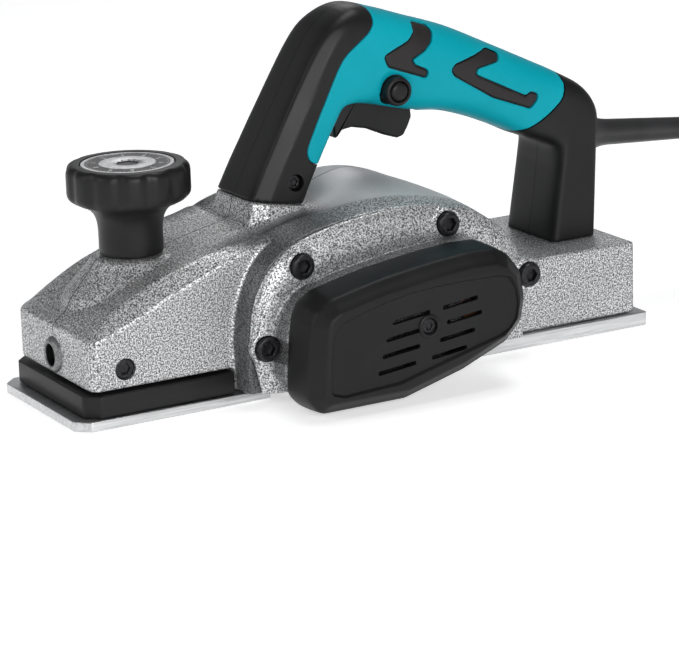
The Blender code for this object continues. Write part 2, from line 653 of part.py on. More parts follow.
for i, x in enumerate(MOTOR_COVER_SCREWS):
    weld(mcover, ring("mcover_boss_%d" % i, (x, 0, 21), (0, 1, 0), 2.0, 4.2,
                      46.3, 66.4, steps=8))
    cut(mcover, rod("mcover_hole_%d" % i, (x, 0, 21), (0, 1, 0), 2.1, 40, 72,
                    steps=8))
    cap_screw("motor_cover_screw_%d" % (i + 1), x, 68.3, 21,
              (0, 1, 0), 3.4, 1.8, 1.7, 26.0, 1.5)

chute = plate("chip_chute", CHUTE, 'y', 22, 56.5, "black",
              holes=[grow(CHUTE, -2.2)])

# ==========================================================================
# Soles, depth setting
# ==========================================================================
sole = plate("rear_sole",
             [(-SOLE_HALF_W, 0), (SOLE_HALF_W, 0), (SOLE_HALF_W, SOLE_T),
              (-SOLE_HALF_W, SOLE_T)], 'x', SOLE_X0, SOLE_X1, "machined")
soften(sole, 0.8)
shoe = plate("front_shoe",
             [(SHOE_X0, -SOLE_HALF_W + 6), (SHOE_X0 + 6, -SOLE_HALF_W),
              (SHOE_X1, -SOLE_HALF_W), (SHOE_X1, SOLE_HALF_W),
              (SHOE_X0 + 6, SOLE_HALF_W), (SHOE_X0, SOLE_HALF_W - 6)],
             'z', 0, SHOE_T, "machined")
skirt = plate("shoe_skirt",
              [(SKIRT_X0, -SKIRT_HALF_W + 6), (SKIRT_X0 + 6, -SKIRT_HALF_W),
               (SKIRT_X1, -SKIRT_HALF_W), (SKIRT_X1, SKIRT_HALF_W),
               (SKIRT_X0 + 6, SKIRT_HALF_W), (SKIRT_X0, SKIRT_HALF_W - 6)],
              'z', SHOE_T + GAP, SKIRT_TOP, "black",
              holes=[circle((KNOB_X, 0), 4.6, 12)])

turned("depth_knob",
       [(0, 103.5), (21.0, 103.5), (21.0, KNOB_TOP), (24.6, KNOB_TOP),
        (KNOB_R, 102.6), (KNOB_R, 91.0), (25.0, 88.2), (17.5, 85.8),
        (NECK_R, 79), (NECK_R, 64.9), (4.3, 64.9), (4.3, 98.3), (0, 98.3)],
       (KNOB_X, 0, 0), (0, 0, 1), 24, "black")
turned("knob_dial",
       [(0, 104.1), (5.2, 104.1), (5.2, KNOB_TOP), (DIAL_R, KNOB_TOP),
        (DIAL_R, 103.8), (0, 103.8)], (KNOB_X, 0, 0), (0, 0, 1), 20, "dial")
turned("depth_spindle", [(0, 98), (4.0, 98), (4.0, 7.0), (0, 7.0)],
       (KNOB_X, 0, 0), (0, 0, 1), 12, "steel")


def tube(name, points, r, look, resolution=2):
    """Round tube along points (mm) on a poly spline with filled caps."""
    cu = bpy.data.curves.new(name, 'CURVE')
    cu.dimensions = '3D'
    cu.bevel_depth = r * MM
    cu.bevel_resolution = resolution
    cu.use_fill_caps = True
    sp = cu.splines.new('POLY')
    sp.points.add(len(points) - 1)
    for p, q in zip(sp.points, points):
        p.co = (q[0] * MM, q[1] * MM, q[2] * MM, 1)
    ob = bpy.data.objects.new(name, cu)
    PARTS.objects.link(ob)
    cu.materials.append(material(name, look))
    return ob


# Spring that holds the shoe down against the spindle thread
turns, per = 4, 7
tube("shoe_spring",
     [(KNOB_X + 6.6 * math.cos(2 * math.pi * i / per),
       6.6 * math.sin(2 * math.pi * i / per),
       17.2 + 13.4 * i / (turns * per)) for i in range(turns * per + 1)],
     0.8, "steel")

# ==========================================================================
# Handle
# ==========================================================================
# outer (x, z), inner (x, z), half width, squareness
STATIONS = (
    ((-47.9, 83.2), (-21.3, 78.6), 19.8, 6.0),
    ((-41.3, 95.6), (-14.8, 91.5), 19.4, 6.0),
    ((-33.1, 110.3), (-8.6, 102.0), 18.8, 5.5),
    ((-22.2, 129.3), (-2.5, 111.8), 18.2, 5.0),
    ((-11.6, 146.5), (2.0, 117.3), 17.8, 4.5),
    ((-2.6, 156.7), (8.5, 118.3), 17.6, 3.8),
    ((10.5, 162.6), (17.5, 116.6), 17.6, 3.0),
    ((25.5, 159.2), (29.0, 113.2), 17.6, 2.8),
    ((41.0, 154.0), (42.0, 110.2), 17.6, 2.7),
    ((61.6, 147.0), (56.0, 108.4), 17.4, 2.6),
    ((82.9, 137.1), (70.5, 104.0), 17.4, 2.6),
    ((104.7, 126.6), (86.5, 97.4), 17.8, 2.9),
    ((118.5, 119.6), (99.0, 91.4), 18.6, 3.4),
    ((130.5, 112.0), (109.0, 88.0), 19.4, 4.2),
    ((136.2, 101.5), (113.4, 84.5), 20.0, 5.0),
    ((135.4, 88.0), (113.2, 76.0), 20.3, 6.0),
    ((133.2, 41.3), (107.8, 41.3), 20.8, 6.5))


def station_ring(st, shrink, n=16):
    (ox, oz), (ix, iz), w, p = st
    m = Vector(((ox + ix) / 2, 0, (oz + iz) / 2))
    u = Vector((ox - ix, 0, oz - iz))
    a = u.length / 2 - shrink
    u.normalize()
    w = w - shrink
    pts = []
    for k in range(n):
        t = 2 * math.pi * (k + 0.5) / n
        c, s = math.cos(t), math.sin(t)
        e = 2.0 / p
        pts.append(tuple(m + u * (a * math.copysign(abs(c) ** e, c))
                         + Vector((0, w * math.copysign(abs(s) ** e, s), 0))))
    return pts


def handle_loft(name, shrink, first=0, last=None, look=None):
    sts = STATIONS[first:last]
    return loft(name, [station_ring(s, shrink) for s in sts], look)


TEAL = [(15.5, 172), (17.9, 158.5), (17.4, 154.6), (14.3, 150.8), (9.0, 147.0),
        (2.3, 142.0), (-2.0, 136.3), (-6.9, 127.3), (-12.8, 116.4),
        (-17.8, 106.7), (-19.6, 102.1), (-19.0, 98.4), (-16.5, 96.2),
        (-12.0, 95.0), (-2, 88), (20, 88), (60, 88), (88, 84), (92.5, 93.6),
        (98.5, 96.4), (108.0, 102.2), (115.0, 108.0), (117.6, 114.0),
        (117.6, 119.5), (122, 132), (60, 172)]
CHEVRONS = (
    [(40.2, 152.4), (47.3, 149.8), (49.2, 146.9), (47.0, 142.8), (43.0, 139.6),
     (35.8, 136.2), (37.5, 133.4), (44.2, 130.2), (43.6, 127.4), (23.9, 134.6),
     (21.9, 139.3), (35.3, 144.6), (39.0, 148.0)],
    [(78.2, 135.5), (84.4, 132.4), (83.2, 129.8), (71.0, 128.2), (69.4, 125.0),
     (96.4, 111.7), (99.0, 113.4), (102.6, 112.0), (101.8, 109.4),
     (98.6, 106.4), (78.8, 114.0), (58.8, 126.2), (57.2, 128.8),
     (59.4, 131.0)])
TRIGGER_ROOM = [(-3.4, 96), (44.6, 96), (44.6, 124), (40, 127.5), (13.5, 133),
                (2, 133), (-2, 127.5), (-3.4, 118)]


def handle_half(side):
    tag = "handle_left" if side < 0 else "handle_right"
    ob = handle_loft(tag, 0.0, look="black")
    rebate = plate(tag + "_t_rebate", grow(TEAL, GAP), 'y', -30, 30)
    cut(rebate, handle_loft(tag + "_t_core", 1.6))
    cut(ob, rebate, handle_loft(tag + "_t_room", 4.6, 1, -1))
    cut(ob, plate(tag + "_t_trigger_room", TRIGGER_ROOM, 'y', -7.9, 7.9),
        rod(tag + "_t_cord_hole", (120, 0, 87.6), (1, 0, -0.087), 5.6, 0, 30,
            steps=12))
    if side < 0:
        x, z = LOCK_AXIS
        cut(ob, rod(tag + "_t_pin", (TRIGGER_PIN[0], 0, TRIGGER_PIN[1]),
                    (0, -1, 0), 1.8, 5, 14.4, steps=8))
        weld(ob, rod(tag + "_t_collar", (x, 0, z), (0, -1, 0), 6.4, 12.6, 19.9,
                     steps=16))
        cut(ob, rod(tag + "_t_lock_bore", (x, 0, z), (0, -1, 0), 4.7, 6, 30,
                    steps=20),
            turned(tag + "_t_screw_seat",
                   [(0, 6), (4.0, 6), (4.0, -5), (2.0, -5), (2.0, -30),
                    (0, -30)], (-26.4, -20, 88.9), (0, -1, 0), 12))
    else:
        cut(ob, turned(tag + "_t_pin",
                       [(0, 14.4), (1.8, 14.4), (1.8, 13.2), (4.4, 13.2),
                        (4.4, 5), (0, 5)],
                       (TRIGGER_PIN[0], 0, TRIGGER_PIN[1]), (0, 1, 0), 10))
        cut(ob, rod(tag + "_t_screw_bore", (-26.4, 0, 88.9), (0, 1, 0), 2.0,
                    -2, 14, steps=10))
    cut(ob, half_space(tag + "_t_split", side))

    tag = "grip_left" if side < 0 else "grip_right"
    ob = handle_loft(tag, 0.0, look="teal")
    keep(ob, plate(tag + "_t_zone", TEAL, 'y', -30, 30))
    cut(ob, handle_loft(tag + "_t_core", 1.3),
        plate(tag + "_t_trigger_room", TRIGGER_ROOM, 'y', -7.9, 7.9))
    for i, c in enumerate(CHEVRONS):
        cut(ob, plate(tag + "_t_chevron_%d" % i, grow(c, 0.45), 'y',
                      *((-30, -8) if side < 0 else (8, 30))))
    if side < 0:
        cut(ob, rod(tag + "_t_lock_room", (LOCK_AXIS[0], 0, LOCK_AXIS[1]),
                    (0, -1, 0), 6.8, 5, 30, steps=16))
    cut(ob, half_space(tag + "_t_split", side))

    for i, c in enumerate(CHEVRONS):
        name = "grip_insert_%s_%s" % ("left" if side < 0 else "right",
                                      ("front", "rear")[i])
        ins = handle_loft(name, 0.35, look="insert")
        keep(ins, plate(name + "_t_zone", c, 'y',
                        *((-30, -8.6) if side < 0 else (8.6, 30))))
        cut(ins, handle_loft(name + "_t_core", 1.3))


handle_half(-1)
handle_half(1)

turned("handle_screw",
       [(0, 1.6), (1.6, 1.6), (1.6, 3.2), (3.4, 3.2), (3.4, 0), (1.6, 0),
        (1.6, -27), (0, -27)], (-26.4, -15.4, 88.9), (0, -1, 0), 10, "blued")

# trigger on its pin, with a torsion spring beside it
trigger = plate("trigger",
                [(1.2, 102.0), (5.0, 106.4), (10.0, 107.0), (18.2, 105.2),
                 (26.9, 101.2), (33.6, 98.9), (36.8, 99.8), (39.3, 103.8),
                 (41.2, 108.0), (40.6, 114.0), (30.0, 119.0), (16.0, 123.0),
                 (12.5, 129.0), (8.0, 130.4), (4.0, 128.4), (2.6, 119.0),
                 (0.6, 109.0)],
                'y', -7.4, 7.4, "black", origin=(TRIGGER_PIN[0], 0,
                                                 TRIGGER_PIN[1]))
soften(trigger, 1.2, 1, 60)
cut(trigger, rod("trigger_bore", (TRIGGER_PIN[0], 0, TRIGGER_PIN[1]),
                 (0, 1, 0), 1.8, -12, 12, steps=10))
rod("trigger_pin", (TRIGGER_PIN[0], 0, TRIGGER_PIN[1]), (0, 1, 0), 1.5,
    -14.0, 14.0, "steel", steps=10)
turns, per = 3, 7
tube("trigger_spring",
     [(TRIGGER_PIN[0] + 2.9 * math.cos(2 * math.pi * i / per),
       8.7 + 3.6 * i / (turns * per),
       TRIGGER_PIN[1] + 2.9 * math.sin(2 * math.pi * i / per))
      for i in range(turns * per + 1)], 0.45, "steel")
turned("lock_button",
       [(0, 21.4), (3.5, 21.4), (4.4, 20.6), (4.4, 11.0), (0, 11.0)],
       (LOCK_AXIS[0], 0, LOCK_AXIS[1]), (0, -1, 0), 14, "black")
box("switch_module", (15.5, -8, 128.6), (44, 8, 146), "black", bevel=0.8)

# black screw that clamps a fence rod pushed into the front hole
turned("fence_clamp_screw",
       [(0, 1.0), (1.6, 1.0), (1.6, 2.4), (4.1, 2.4), (4.5, 2.0), (4.5, 0),
        (2.2, 0), (2.2, -29), (0, -29)],
       (-122.6, -35.1, 24.4), (0, -1, 0), 10, "blued")

# ==========================================================================
# Cord guard, cord, plug
# ==========================================================================
GUARD_START = Vector((136.6, 0, 86.15))
GUARD_DIR = Vector((1, 0, -0.087)).normalized()
GUARD_LEN = 72.5
turned("cord_guard",
       [(0, GUARD_LEN), (5.0, GUARD_LEN), (5.3, 58), (6.2, 13.5), (7.6, 8),
        (9.5, 3.5), (9.5, 0.6), (5.2, 0.6), (5.2, -14), (0, -14)],
       tuple(GUARD_START), tuple(GUARD_DIR), 14, "rubber")

GUARD_END = GUARD_START + GUARD_DIR * (GUARD_LEN + GAP)
LEAD_SWEEP = math.radians(125)  # part of a turn made while coming down
TOP_TURN_Z = 16.75


def lead_point(t):
    """Lead from the guard (t=0) on to the uppermost turn of the coil (t=1).

    In plan it runs straight back, then round the coil's own circle; its
    height follows a smooth S from the guard's end to the turn.
    """
    run = COIL_C[0] - GUARD_END.x
    total = run + LEAD_SWEEP * COIL_R
    s = t * total
    h = t * t * t * (10 - 15 * t + 6 * t * t)
    drop = GUARD_END.z - TOP_TURN_Z
    z = GUARD_END.z - 0.087 * s * (1 - t) ** 3 - drop * h
    if s <= run:
        return Vector((GUARD_END.x + s, 0, z))
    a = math.pi / 2 - (s - run) / COIL_R
    return Vector((COIL_C[0] + COIL_R * math.cos(a),
                   COIL_C[1] + COIL_R * math.sin(a), z))


# the plan radius meets the straight run on the coil's +Y side
COIL_C = (COIL_C[0], -COIL_R)
lead = []
for i in range(24):
    p = lead_point(i / 28)
    if p.z < 25.5:
        break
    lead.append(tuple(p))
tube("cord_lead", lead, CORD_R, "rubber")

turned("cord_coil",
       [(52.4, 7.6), (52.4, 0.15), (29.6, 0.15), (29.6, 7.6), (37.0, 20.6),
        (45.0, 20.6)],
       (COIL_C[0], COIL_C[1], 0), (0, 0, 1), 24, "rubber", closed=True)

# plug lying flat, tangent to the outer bottom turn, pins away from the coil
PLUG_X = COIL_C[0] + 48.5
PLUG_Y = COIL_C[1] - 29.4


def plug_ring(d, w, h, n=12):
    pts = []
    for k in range(n):
        t = 2 * math.pi * (k + 0.5) / n
        c, s = math.cos(t), math.sin(t)
        pts.append((PLUG_X + w * math.copysign(abs(c) ** 0.6, c), PLUG_Y - d,
                    8.2 + h * math.copysign(abs(s) ** 0.6, s)))
    return pts


plug = loft("plug", [plug_ring(0, 4.4, 4.4), plug_ring(14, 5.6, 5.6),
              plug_ring(19, 9.5, 7.4), plug_ring(26, 12.8, 8.0),
              plug_ring(48, 12.8, 8.0), plug_ring(50, 12.0, 7.4)], "rubber")
for i, dx in enumerate((-9.5, 9.5)):
    weld(plug, turned("plug_pin_%d" % (i + 1),
                      [(0, 19.0), (1.4, 19.0), (2.0, 18.2), (2.0, -6), (0, -6)],
                      (PLUG_X + dx, PLUG_Y - 50, 8.2), (0, -1, 0), 12))
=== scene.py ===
"""Looks of a hand-held electric planer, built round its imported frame.

Lengths in the tables are millimetres in the frame's own axes: +X to the rear,
-Y to the belt side, +Z up; MM turns them into metres.
"""
import math

import bmesh
import bpy
from mathutils import Matrix, Quaternion, Vector


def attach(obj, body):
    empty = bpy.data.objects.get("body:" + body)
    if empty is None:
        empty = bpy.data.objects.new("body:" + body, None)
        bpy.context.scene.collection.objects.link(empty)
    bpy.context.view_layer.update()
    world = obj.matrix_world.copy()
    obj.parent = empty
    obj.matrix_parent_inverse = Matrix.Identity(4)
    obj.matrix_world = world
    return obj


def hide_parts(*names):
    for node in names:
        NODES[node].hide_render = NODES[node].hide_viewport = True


MM = 0.001
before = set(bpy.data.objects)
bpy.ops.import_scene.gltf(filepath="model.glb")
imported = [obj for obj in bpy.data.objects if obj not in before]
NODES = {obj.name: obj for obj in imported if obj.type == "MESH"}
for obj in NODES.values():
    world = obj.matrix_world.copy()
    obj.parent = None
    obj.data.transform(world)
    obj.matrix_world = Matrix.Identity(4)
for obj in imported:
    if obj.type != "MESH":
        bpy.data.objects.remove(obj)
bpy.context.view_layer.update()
BODY = "machine"
scene = bpy.context.scene

# ==========================================================================
# Camera
# ==========================================================================
RIGHT = Vector((0.86667863, -0.49800553, -0.02930276))
UP = Vector((0.1601283, 0.22207923, 0.96178986))
AHEAD = Vector((0.47246913, 0.83825492, -0.2722161))
cam_data = bpy.data.cameras.new("view")
cam_data.lens = 163.06
cam_data.sensor_width = 36.0
cam_data.sensor_fit = 'HORIZONTAL'
cam_data.clip_start = 0.05
cam_data.clip_end = 20.0
cam = bpy.data.objects.new("view", cam_data)
scene.collection.objects.link(cam)
rot = Matrix((RIGHT, UP, -AHEAD)).transposed().to_4x4()
cam.matrix_world = Matrix.Translation((-0.66109, -1.18065, 0.39824)) @ rot
scene.camera = cam


# ==========================================================================
# Materials
# ==========================================================================
class Look:
    """Small helper round one node tree with a Principled surface."""

    def __init__(self, name):
        self.mat = bpy.data.materials.new(name)
        self.mat.use_nodes = True
        self.nt = self.mat.node_tree
        self.b = self.nt.nodes["Principled BSDF"]
        self.co = self.nt.nodes.new("ShaderNodeTexCoord").outputs["Object"]

    def set(self, **values):
        for key, v in values.items():
            self.b.inputs[key.replace("_", " ")].default_value = v
        return self

    def link(self, a, b):
        self.nt.links.new(a, b)

    def node(self, kind, **inputs):
        n = self.nt.nodes.new("ShaderNode" + kind)
        for key, v in inputs.items():
            key = key.replace("_", " ")
            if hasattr(v, "is_output"):
                self.link(v, n.inputs[key])
            else:
                n.inputs[key].default_value = v
        return n

    def stretch(self, x, y, z, turn=(0, 0, 0)):
        m = self.nt.nodes.new("ShaderNodeMapping")
        self.link(self.co, m.inputs["Vector"])
        m.inputs["Scale"].default_value = (x, y, z)
        m.inputs["Rotation"].default_value = turn
        return m.outputs["Vector"]

    def noise(self, scale, detail=2.0, rough=0.5, vector=None, distortion=0.0):
        n = self.node("TexNoise", Scale=scale, Detail=detail, Roughness=rough,
                      Distortion=distortion)
        self.link(vector or self.co, n.inputs["Vector"])
        return n.outputs["Fac"]

    def ramp(self, fac, *stops):
        n = self.nt.nodes.new("ShaderNodeValToRGB")
        self.link(fac, n.inputs["Fac"])
        el = n.color_ramp.elements
        while len(el) < len(stops):
            el.new(0.5)
        for e, (pos, colour) in zip(el, stops):
            e.position = pos
            if not hasattr(colour, "__len__"):
                colour = (colour, colour, colour)
            e.color = (*colour, 1.0)
        return n.outputs["Color"]

    def math(self, op, a, b=None, c=None):
        n = self.nt.nodes.new("ShaderNodeMath")
        n.operation = op
        for i, v in enumerate((a, b, c)):
            if v is None:
                continue
            if hasattr(v, "is_output"):
                self.link(v, n.inputs[i])
            else:
                n.inputs[i].default_value = v
        return n.outputs[0]

    def spread(self, v, lo, hi, out_lo=0.0, out_hi=1.0):
        n = self.nt.nodes.new("ShaderNodeMapRange")
        n.interpolation_type = 'SMOOTHSTEP'
        self.link(v, n.inputs["Value"])
        for key, x in (("From Min", lo), ("From Max", hi), ("To Min", out_lo),
                       ("To Max", out_hi)):
            n.inputs[key].default_value = x
        return n.outputs["Result"]

    def mix(self, fac, a, b):
        n = self.nt.nodes.new("ShaderNodeMix")
        n.data_type = 'RGBA'
        sockets = [s for s in n.inputs if s.enabled]
        by = {s.name: s for s in sockets}
        for key, v in (("Factor", fac), ("A", a), ("B", b)):
            s = by[key]
            if hasattr(v, "is_output"):
                self.link(v, s)
            elif hasattr(v, "__len__"):
                s.default_value = (*v, 1.0)
            else:
                s.default_value = v
        return [s for s in n.outputs if s.enabled][0]

    def bump(self, height, strength, distance, under=None):
        n = self.node("Bump", Strength=strength, Distance=distance,
                      Height=height)
        if under is not None:
            self.link(under, n.inputs["Normal"])
        return n.outputs["Normal"]

    def out(self, colour=None, rough=None, normal=None, metal=None):
        for key, v in (("Base Color", colour), ("Roughness", rough),
                       ("Normal", normal), ("Metallic", metal)):
            if v is not None:
                self.link(v, self.b.inputs[key])
        return self.mat


def hammered(name, dark, mid, light, grain, metal=0.55, rough=0.44, bump=0.45):
    """Silver speckled paint on cast metal, lighter and smoother along the crown as
    a painted highlight, darker in painted shade on the shoulder, the front step
    and below the belt cover's boss.
    """
    k = Look(name)
    wide = k.noise(grain, 2.0, 0.55)
    fine = k.noise(grain * 2.3, 1.0, 0.5)
    speck = k.math('ADD', k.math('MULTIPLY', wide, 0.72),
                   k.math('MULTIPLY', fine, 0.28))
    xyz = k.nt.nodes.new("ShaderNodeSeparateXYZ")
    k.link(k.co, xyz.inputs[0])
    side = k.math('ABSOLUTE', xyz.outputs["Y"])
    x_at, z_at = xyz.outputs["X"], xyz.outputs["Z"]
    # mask for the painted highlight along the crown of the dome
    crown_highlight = k.math('MULTIPLY', k.spread(side, 0.0345, 0.0325),
                   k.math('MULTIPLY', k.spread(xyz.outputs["Z"], 0.064, 0.070),
                          k.spread(xyz.outputs["X"], -0.022, -0.014)))
    # grain fades out on the crown, as part of the painted highlight there
    amount = k.spread(crown_highlight, 0.0, 1.0, 1.0, 0.28)
    speck = k.math('ADD', k.math('MULTIPLY',
                                 k.math('SUBTRACT', speck, 0.5), amount), 0.5)
    colour = k.ramp(speck, (0.38, dark), (0.475, mid), (0.575, light))
    broad = k.noise(26, 2.0, 0.5)
    colour = k.mix(k.spread(broad, 0.3, 0.7, 0.0, 0.16), colour,
                   (0.19, 0.19, 0.2))
    # painted highlight: lighter colour along the crown
    colour = k.mix(k.math('MULTIPLY', crown_highlight, 0.85), colour, (0.62, 0.622, 0.63))
    # painted shade: darker colour on the housing's shoulder and its front step
    shoulder_shade = k.math('MULTIPLY', k.spread(side, 0.0190, 0.0330),
                      k.spread(side, 0.0475, 0.0462))
    shoulder_shade = k.math('MULTIPLY', shoulder_shade, k.spread(z_at, 0.066, 0.070))
    shoulder_shade = k.math('MULTIPLY', shoulder_shade, k.spread(x_at, 0.004, -0.030))
    front_step_shade = k.math('MULTIPLY', k.spread(side, 0.0384, 0.0390),
                  k.spread(side, 0.0475, 0.0462))
    front_step_shade = k.math('MULTIPLY', front_step_shade, k.spread(x_at, -0.012, -0.034))
    front_step_shade = k.math('MULTIPLY', front_step_shade, k.spread(x_at, -0.0760, -0.0745))
    painted_shade_area = k.math('MAXIMUM', shoulder_shade, front_step_shade)
    # shade below the belt cover's boss
    boss = k.math('MULTIPLY', k.spread(xyz.outputs["Y"], -0.0506, -0.0520),
                  k.spread(x_at, 0.046, 0.030))
    painted_shade_area = k.math('MAXIMUM', painted_shade_area, k.math('MULTIPLY', boss, 0.72))
    # mix in the painted shade colour on the shoulder, the front step and below the
    # boss
    colour = k.mix(k.math('MULTIPLY', painted_shade_area, 0.84), colour,
                   (0.035, 0.036, 0.038))
    # parting line between the two halves
    seam = k.spread(side, 0.00034, 0.00016)
    colour = k.mix(seam, colour, (0.004, 0.004, 0.004))
    rough_out = k.spread(speck, 0.4, 0.6, rough + 0.08, rough - 0.06)
    normal = k.bump(speck, bump, 0.00022)
    k.set(Metallic=metal)
    return k.out(colour, rough_out, normal)


def plastic(name, colour, rough=0.45, grain=2600, bump=0.12, spec=0.5,
            tone=0.12):
    """Moulded plastic with a fine spark-eroded texture."""
    k = Look(name)
    fine = k.noise(grain, 2.0, 0.6)
    broad = k.noise(38, 3.0, 0.55)
    lighter = tuple(min(1.0, c * (1 + tone) + 0.002) for c in colour)
    darker = tuple(c * (1 - tone) for c in colour)
    col = k.ramp(broad, (0.3, darker), (0.7, lighter))
    r = k.math('ADD', k.spread(fine, 0.3, 0.7, rough - 0.04, rough + 0.05),
               k.spread(broad, 0.3, 0.7, -0.02, 0.03))
    k.b.inputs["Specular IOR Level"].default_value = spec
    return k.out(col, r, k.bump(fine, bump, 0.00008))


def brushed(name, axis_scale, colour=(0.66, 0.665, 0.67), rough=0.3):
    """Machined metal with fine lines along one direction."""
    k = Look(name)
    lines = k.noise(1.0, 4.0, 0.65, k.stretch(*axis_scale))
    broad = k.noise(30, 2.0, 0.5)
    dark = tuple(c * 0.72 for c in colour)
    light = tuple(min(1.0, c * 1.16) for c in colour)
    col = k.ramp(lines, (0.32, dark), (0.68, light))
    r = k.math('ADD', k.spread(lines, 0.3, 0.7, rough - 0.05, rough + 0.09),
               k.spread(broad, 0.3, 0.7, -0.03, 0.05))
    k.set(Metallic=1.0)
    return k.out(col, r, k.bump(lines, 0.12, 0.00006))


def blued(name, colour=(0.018, 0.018, 0.02)):
    k = Look(name)
    n = k.noise(700, 3.0, 0.6)
    k.set(Metallic=0.6)
    return k.out(k.ramp(n, (0.35, tuple(c * 0.6 for c in colour)),
                        (0.7, tuple(c * 1.7 for c in colour))),
                 k.spread(n, 0.3, 0.7, 0.26, 0.42), k.bump(n, 0.12, 0.00008))


def rubber(name, colour=(0.014, 0.014, 0.015), rough=0.5, grain=1600):
    k = Look(name)
    n = k.noise(grain, 3.0, 0.6)
    broad = k.noise(45, 2.0, 0.5)
    return k.out(k.ramp(broad, (0.3, tuple(c * 0.75 for c in colour)),
                        (0.7, tuple(c * 1.35 for c in colour))),
                 k.spread(n, 0.3, 0.7, rough - 0.06, rough + 0.07),
                 k.bump(n, 0.2, 0.00008))


HAMMER = hammered("hammertone", (0.022, 0.023, 0.024), (0.24, 0.242, 0.247),
                  (0.84, 0.845, 0.85), 1420)
RING_CAST = hammered("cast_ring", (0.09, 0.092, 0.095), (0.17, 0.172, 0.176),
                     (0.30, 0.303, 0.308), 1500, bump=0.2)
BLACK = plastic("black_shell", (0.0075, 0.0075, 0.008), 0.40, spec=0.26)
BLACK_SOFT = plastic("black_cover", (0.006, 0.006, 0.0064), 0.46, 2200, 0.16,
                     spec=0.24)
INSERT = plastic("black_insert", (0.017, 0.014, 0.014), 0.46, 1900, 0.2,
                 spec=0.3)
TEAL = plastic("teal_shell", (0.0, 0.325, 0.40), 0.42, 3000, 0.06, spec=0.12,
               tone=0.05)
ALU_LONG = brushed("milled_sole", (30, 900, 900))
ALU_CROSS = brushed("milled_shoe", (30, 900, 900), rough=0.34)
SCREW = blued("black_oxide")
CORD_LOOK = rubber("cord_sheath", (0.022, 0.022, 0.023), 0.42)
BELT_LOOK = rubber("belt_rubber", (0.02, 0.02, 0.02), 0.62)
STEEL = brushed("ground_steel", (900, 40, 900), (0.52, 0.52, 0.53), 0.28)
COPPER = brushed("windings", (60, 1400, 60), (0.17, 0.075, 0.035), 0.42)
CARBON = rubber("graphite", (0.05, 0.05, 0.055), 0.55)
DIAL_PLATE = brushed("dial_plate", (700, 700, 700), (0.62, 0.62, 0.63), 0.36)
DIAL_BLACK = plastic("dial_ring", (0.025, 0.025, 0.027), 0.4)
DIAL_MARK = plastic("dial_marks", (0.6, 0.6, 0.6), 0.5)
BRASS = brushed("pin_brass", (60, 700, 700), (0.62, 0.62, 0.6), 0.3)


# ==========================================================================
# Mesh helpers (mm in, metres out)
# ==========================================================================
AXES = {
    'x': Matrix(((0, 0, 1, 0), (1, 0, 0, 0), (0, 1, 0, 0), (0, 0, 0, 1))),
    'y': Matrix(((1, 0, 0, 0), (0, 0, -1, 0), (0, 1, 0, 0), (0, 0, 0, 1))),
    'z': Matrix.Identity(4),
}


def outward(bm, faces):
    """Turn a closed set of faces right side out, by its signed volume."""
    vol = 0.0
    for f in faces:
        o = f.verts[0].co
        for a, b in zip(f.verts[1:-1], f.verts[2:]):
            vol += o.dot(a.co.cross(b.co))
    if vol < 0:
        bmesh.ops.reverse_faces(bm, faces=faces)


def add_loft(bm, rings, close=True):
    grid = [[bm.verts.new(Vector(p) * MM) for p in ring] for ring in rings]
    n = len(rings[0])
    faces = []
    for a, b in zip(grid[:-1], grid[1:]):
        for i in range(n):
            j = (i + 1) % n
            faces.append(bm.faces.new((a[i], a[j], b[j], b[i])))
    if close:
        faces.append(bm.faces.new(list(reversed(grid[0]))))
        faces.append(bm.faces.new(grid[-1]))
    bmesh.ops.recalc_face_normals(bm, faces=faces)
    outward(bm, faces)
    return bm


def add_prism(bm, outline, axis, lo, hi):
    def at(p, h):
        return {'x': (h, p[0], p[1]), 'y': (p[0], h, p[1]),
                'z': (p[0], p[1], h)}[axis]
    return add_loft(bm, [[at(p, lo) for p in outline],
                         [at(p, hi) for p in outline]])


def add_box(bm, lo, hi):
    x0, y0, z0 = lo
    x1, y1, z1 = hi
    return add_loft(bm, [[(x0, y0, z), (x1, y0, z), (x1, y1, z), (x0, y1, z)]
                         for z in (z0, z1)])


def add_turned(bm, profile, centre, axis, steps, closed=False):
    """Profile of (radius, height), outer side from high to low."""
    q = Vector((0, 0, 1)).rotation_difference(Vector(axis).normalized())
    c = Vector(centre)
    rows = []
    for r, h in profile:
        if r < 1e-6 and not closed:
            rows.append([bm.verts.new((c + q @ Vector((0, 0, h))) * MM)])
        else:
            rows.append([bm.verts.new((c + q @ Vector(
                (r * math.cos(2 * math.pi * i / steps),
                 r * math.sin(2 * math.pi * i / steps), h))) * MM)
                for i in range(steps)])
    pairs = list(zip(rows[:-1], rows[1:]))
    if closed:
        pairs.append((rows[-1], rows[0]))
    faces = []
    for a, b in pairs:
        for i in range(steps):
            j = (i + 1) % steps
            if len(a) == 1 and len(b) == 1:
                continue
            if len(a) == 1:
                faces.append(bm.faces.new((a[0], b[i], b[j])))
            elif len(b) == 1:
                faces.append(bm.faces.new((a[i], b[0], a[j])))
            else:
                faces.append(bm.faces.new((a[i], b[i], b[j], a[j])))
    bmesh.ops.recalc_face_normals(bm, faces=faces)
    outward(bm, faces)
    return bm


def add_rod(bm, centre, axis, r, lo, hi, steps=32):
    return add_turned(bm, [(0, hi), (r, hi), (r, lo), (0, lo)], centre, axis,
                      steps)


def make(name, bm, mat=None):
    mesh = bpy.data.meshes.new(name)
    bm.to_mesh(mesh)
    bm.free()
    ob = bpy.data.objects.new(name, mesh)
    scene.collection.objects.link(ob)
    if mat is not None:
        mesh.materials.append(mat)
    return ob


def settle(ob):
    """Apply every modifier of an object to its mesh."""
    dg = bpy.context.evaluated_depsgraph_get()
    mesh = bpy.data.meshes.new_from_object(ob.evaluated_get(dg))
    old = ob.data
    ob.modifiers.clear()
    ob.data = mesh
    bpy.data.meshes.remove(old)
    return ob


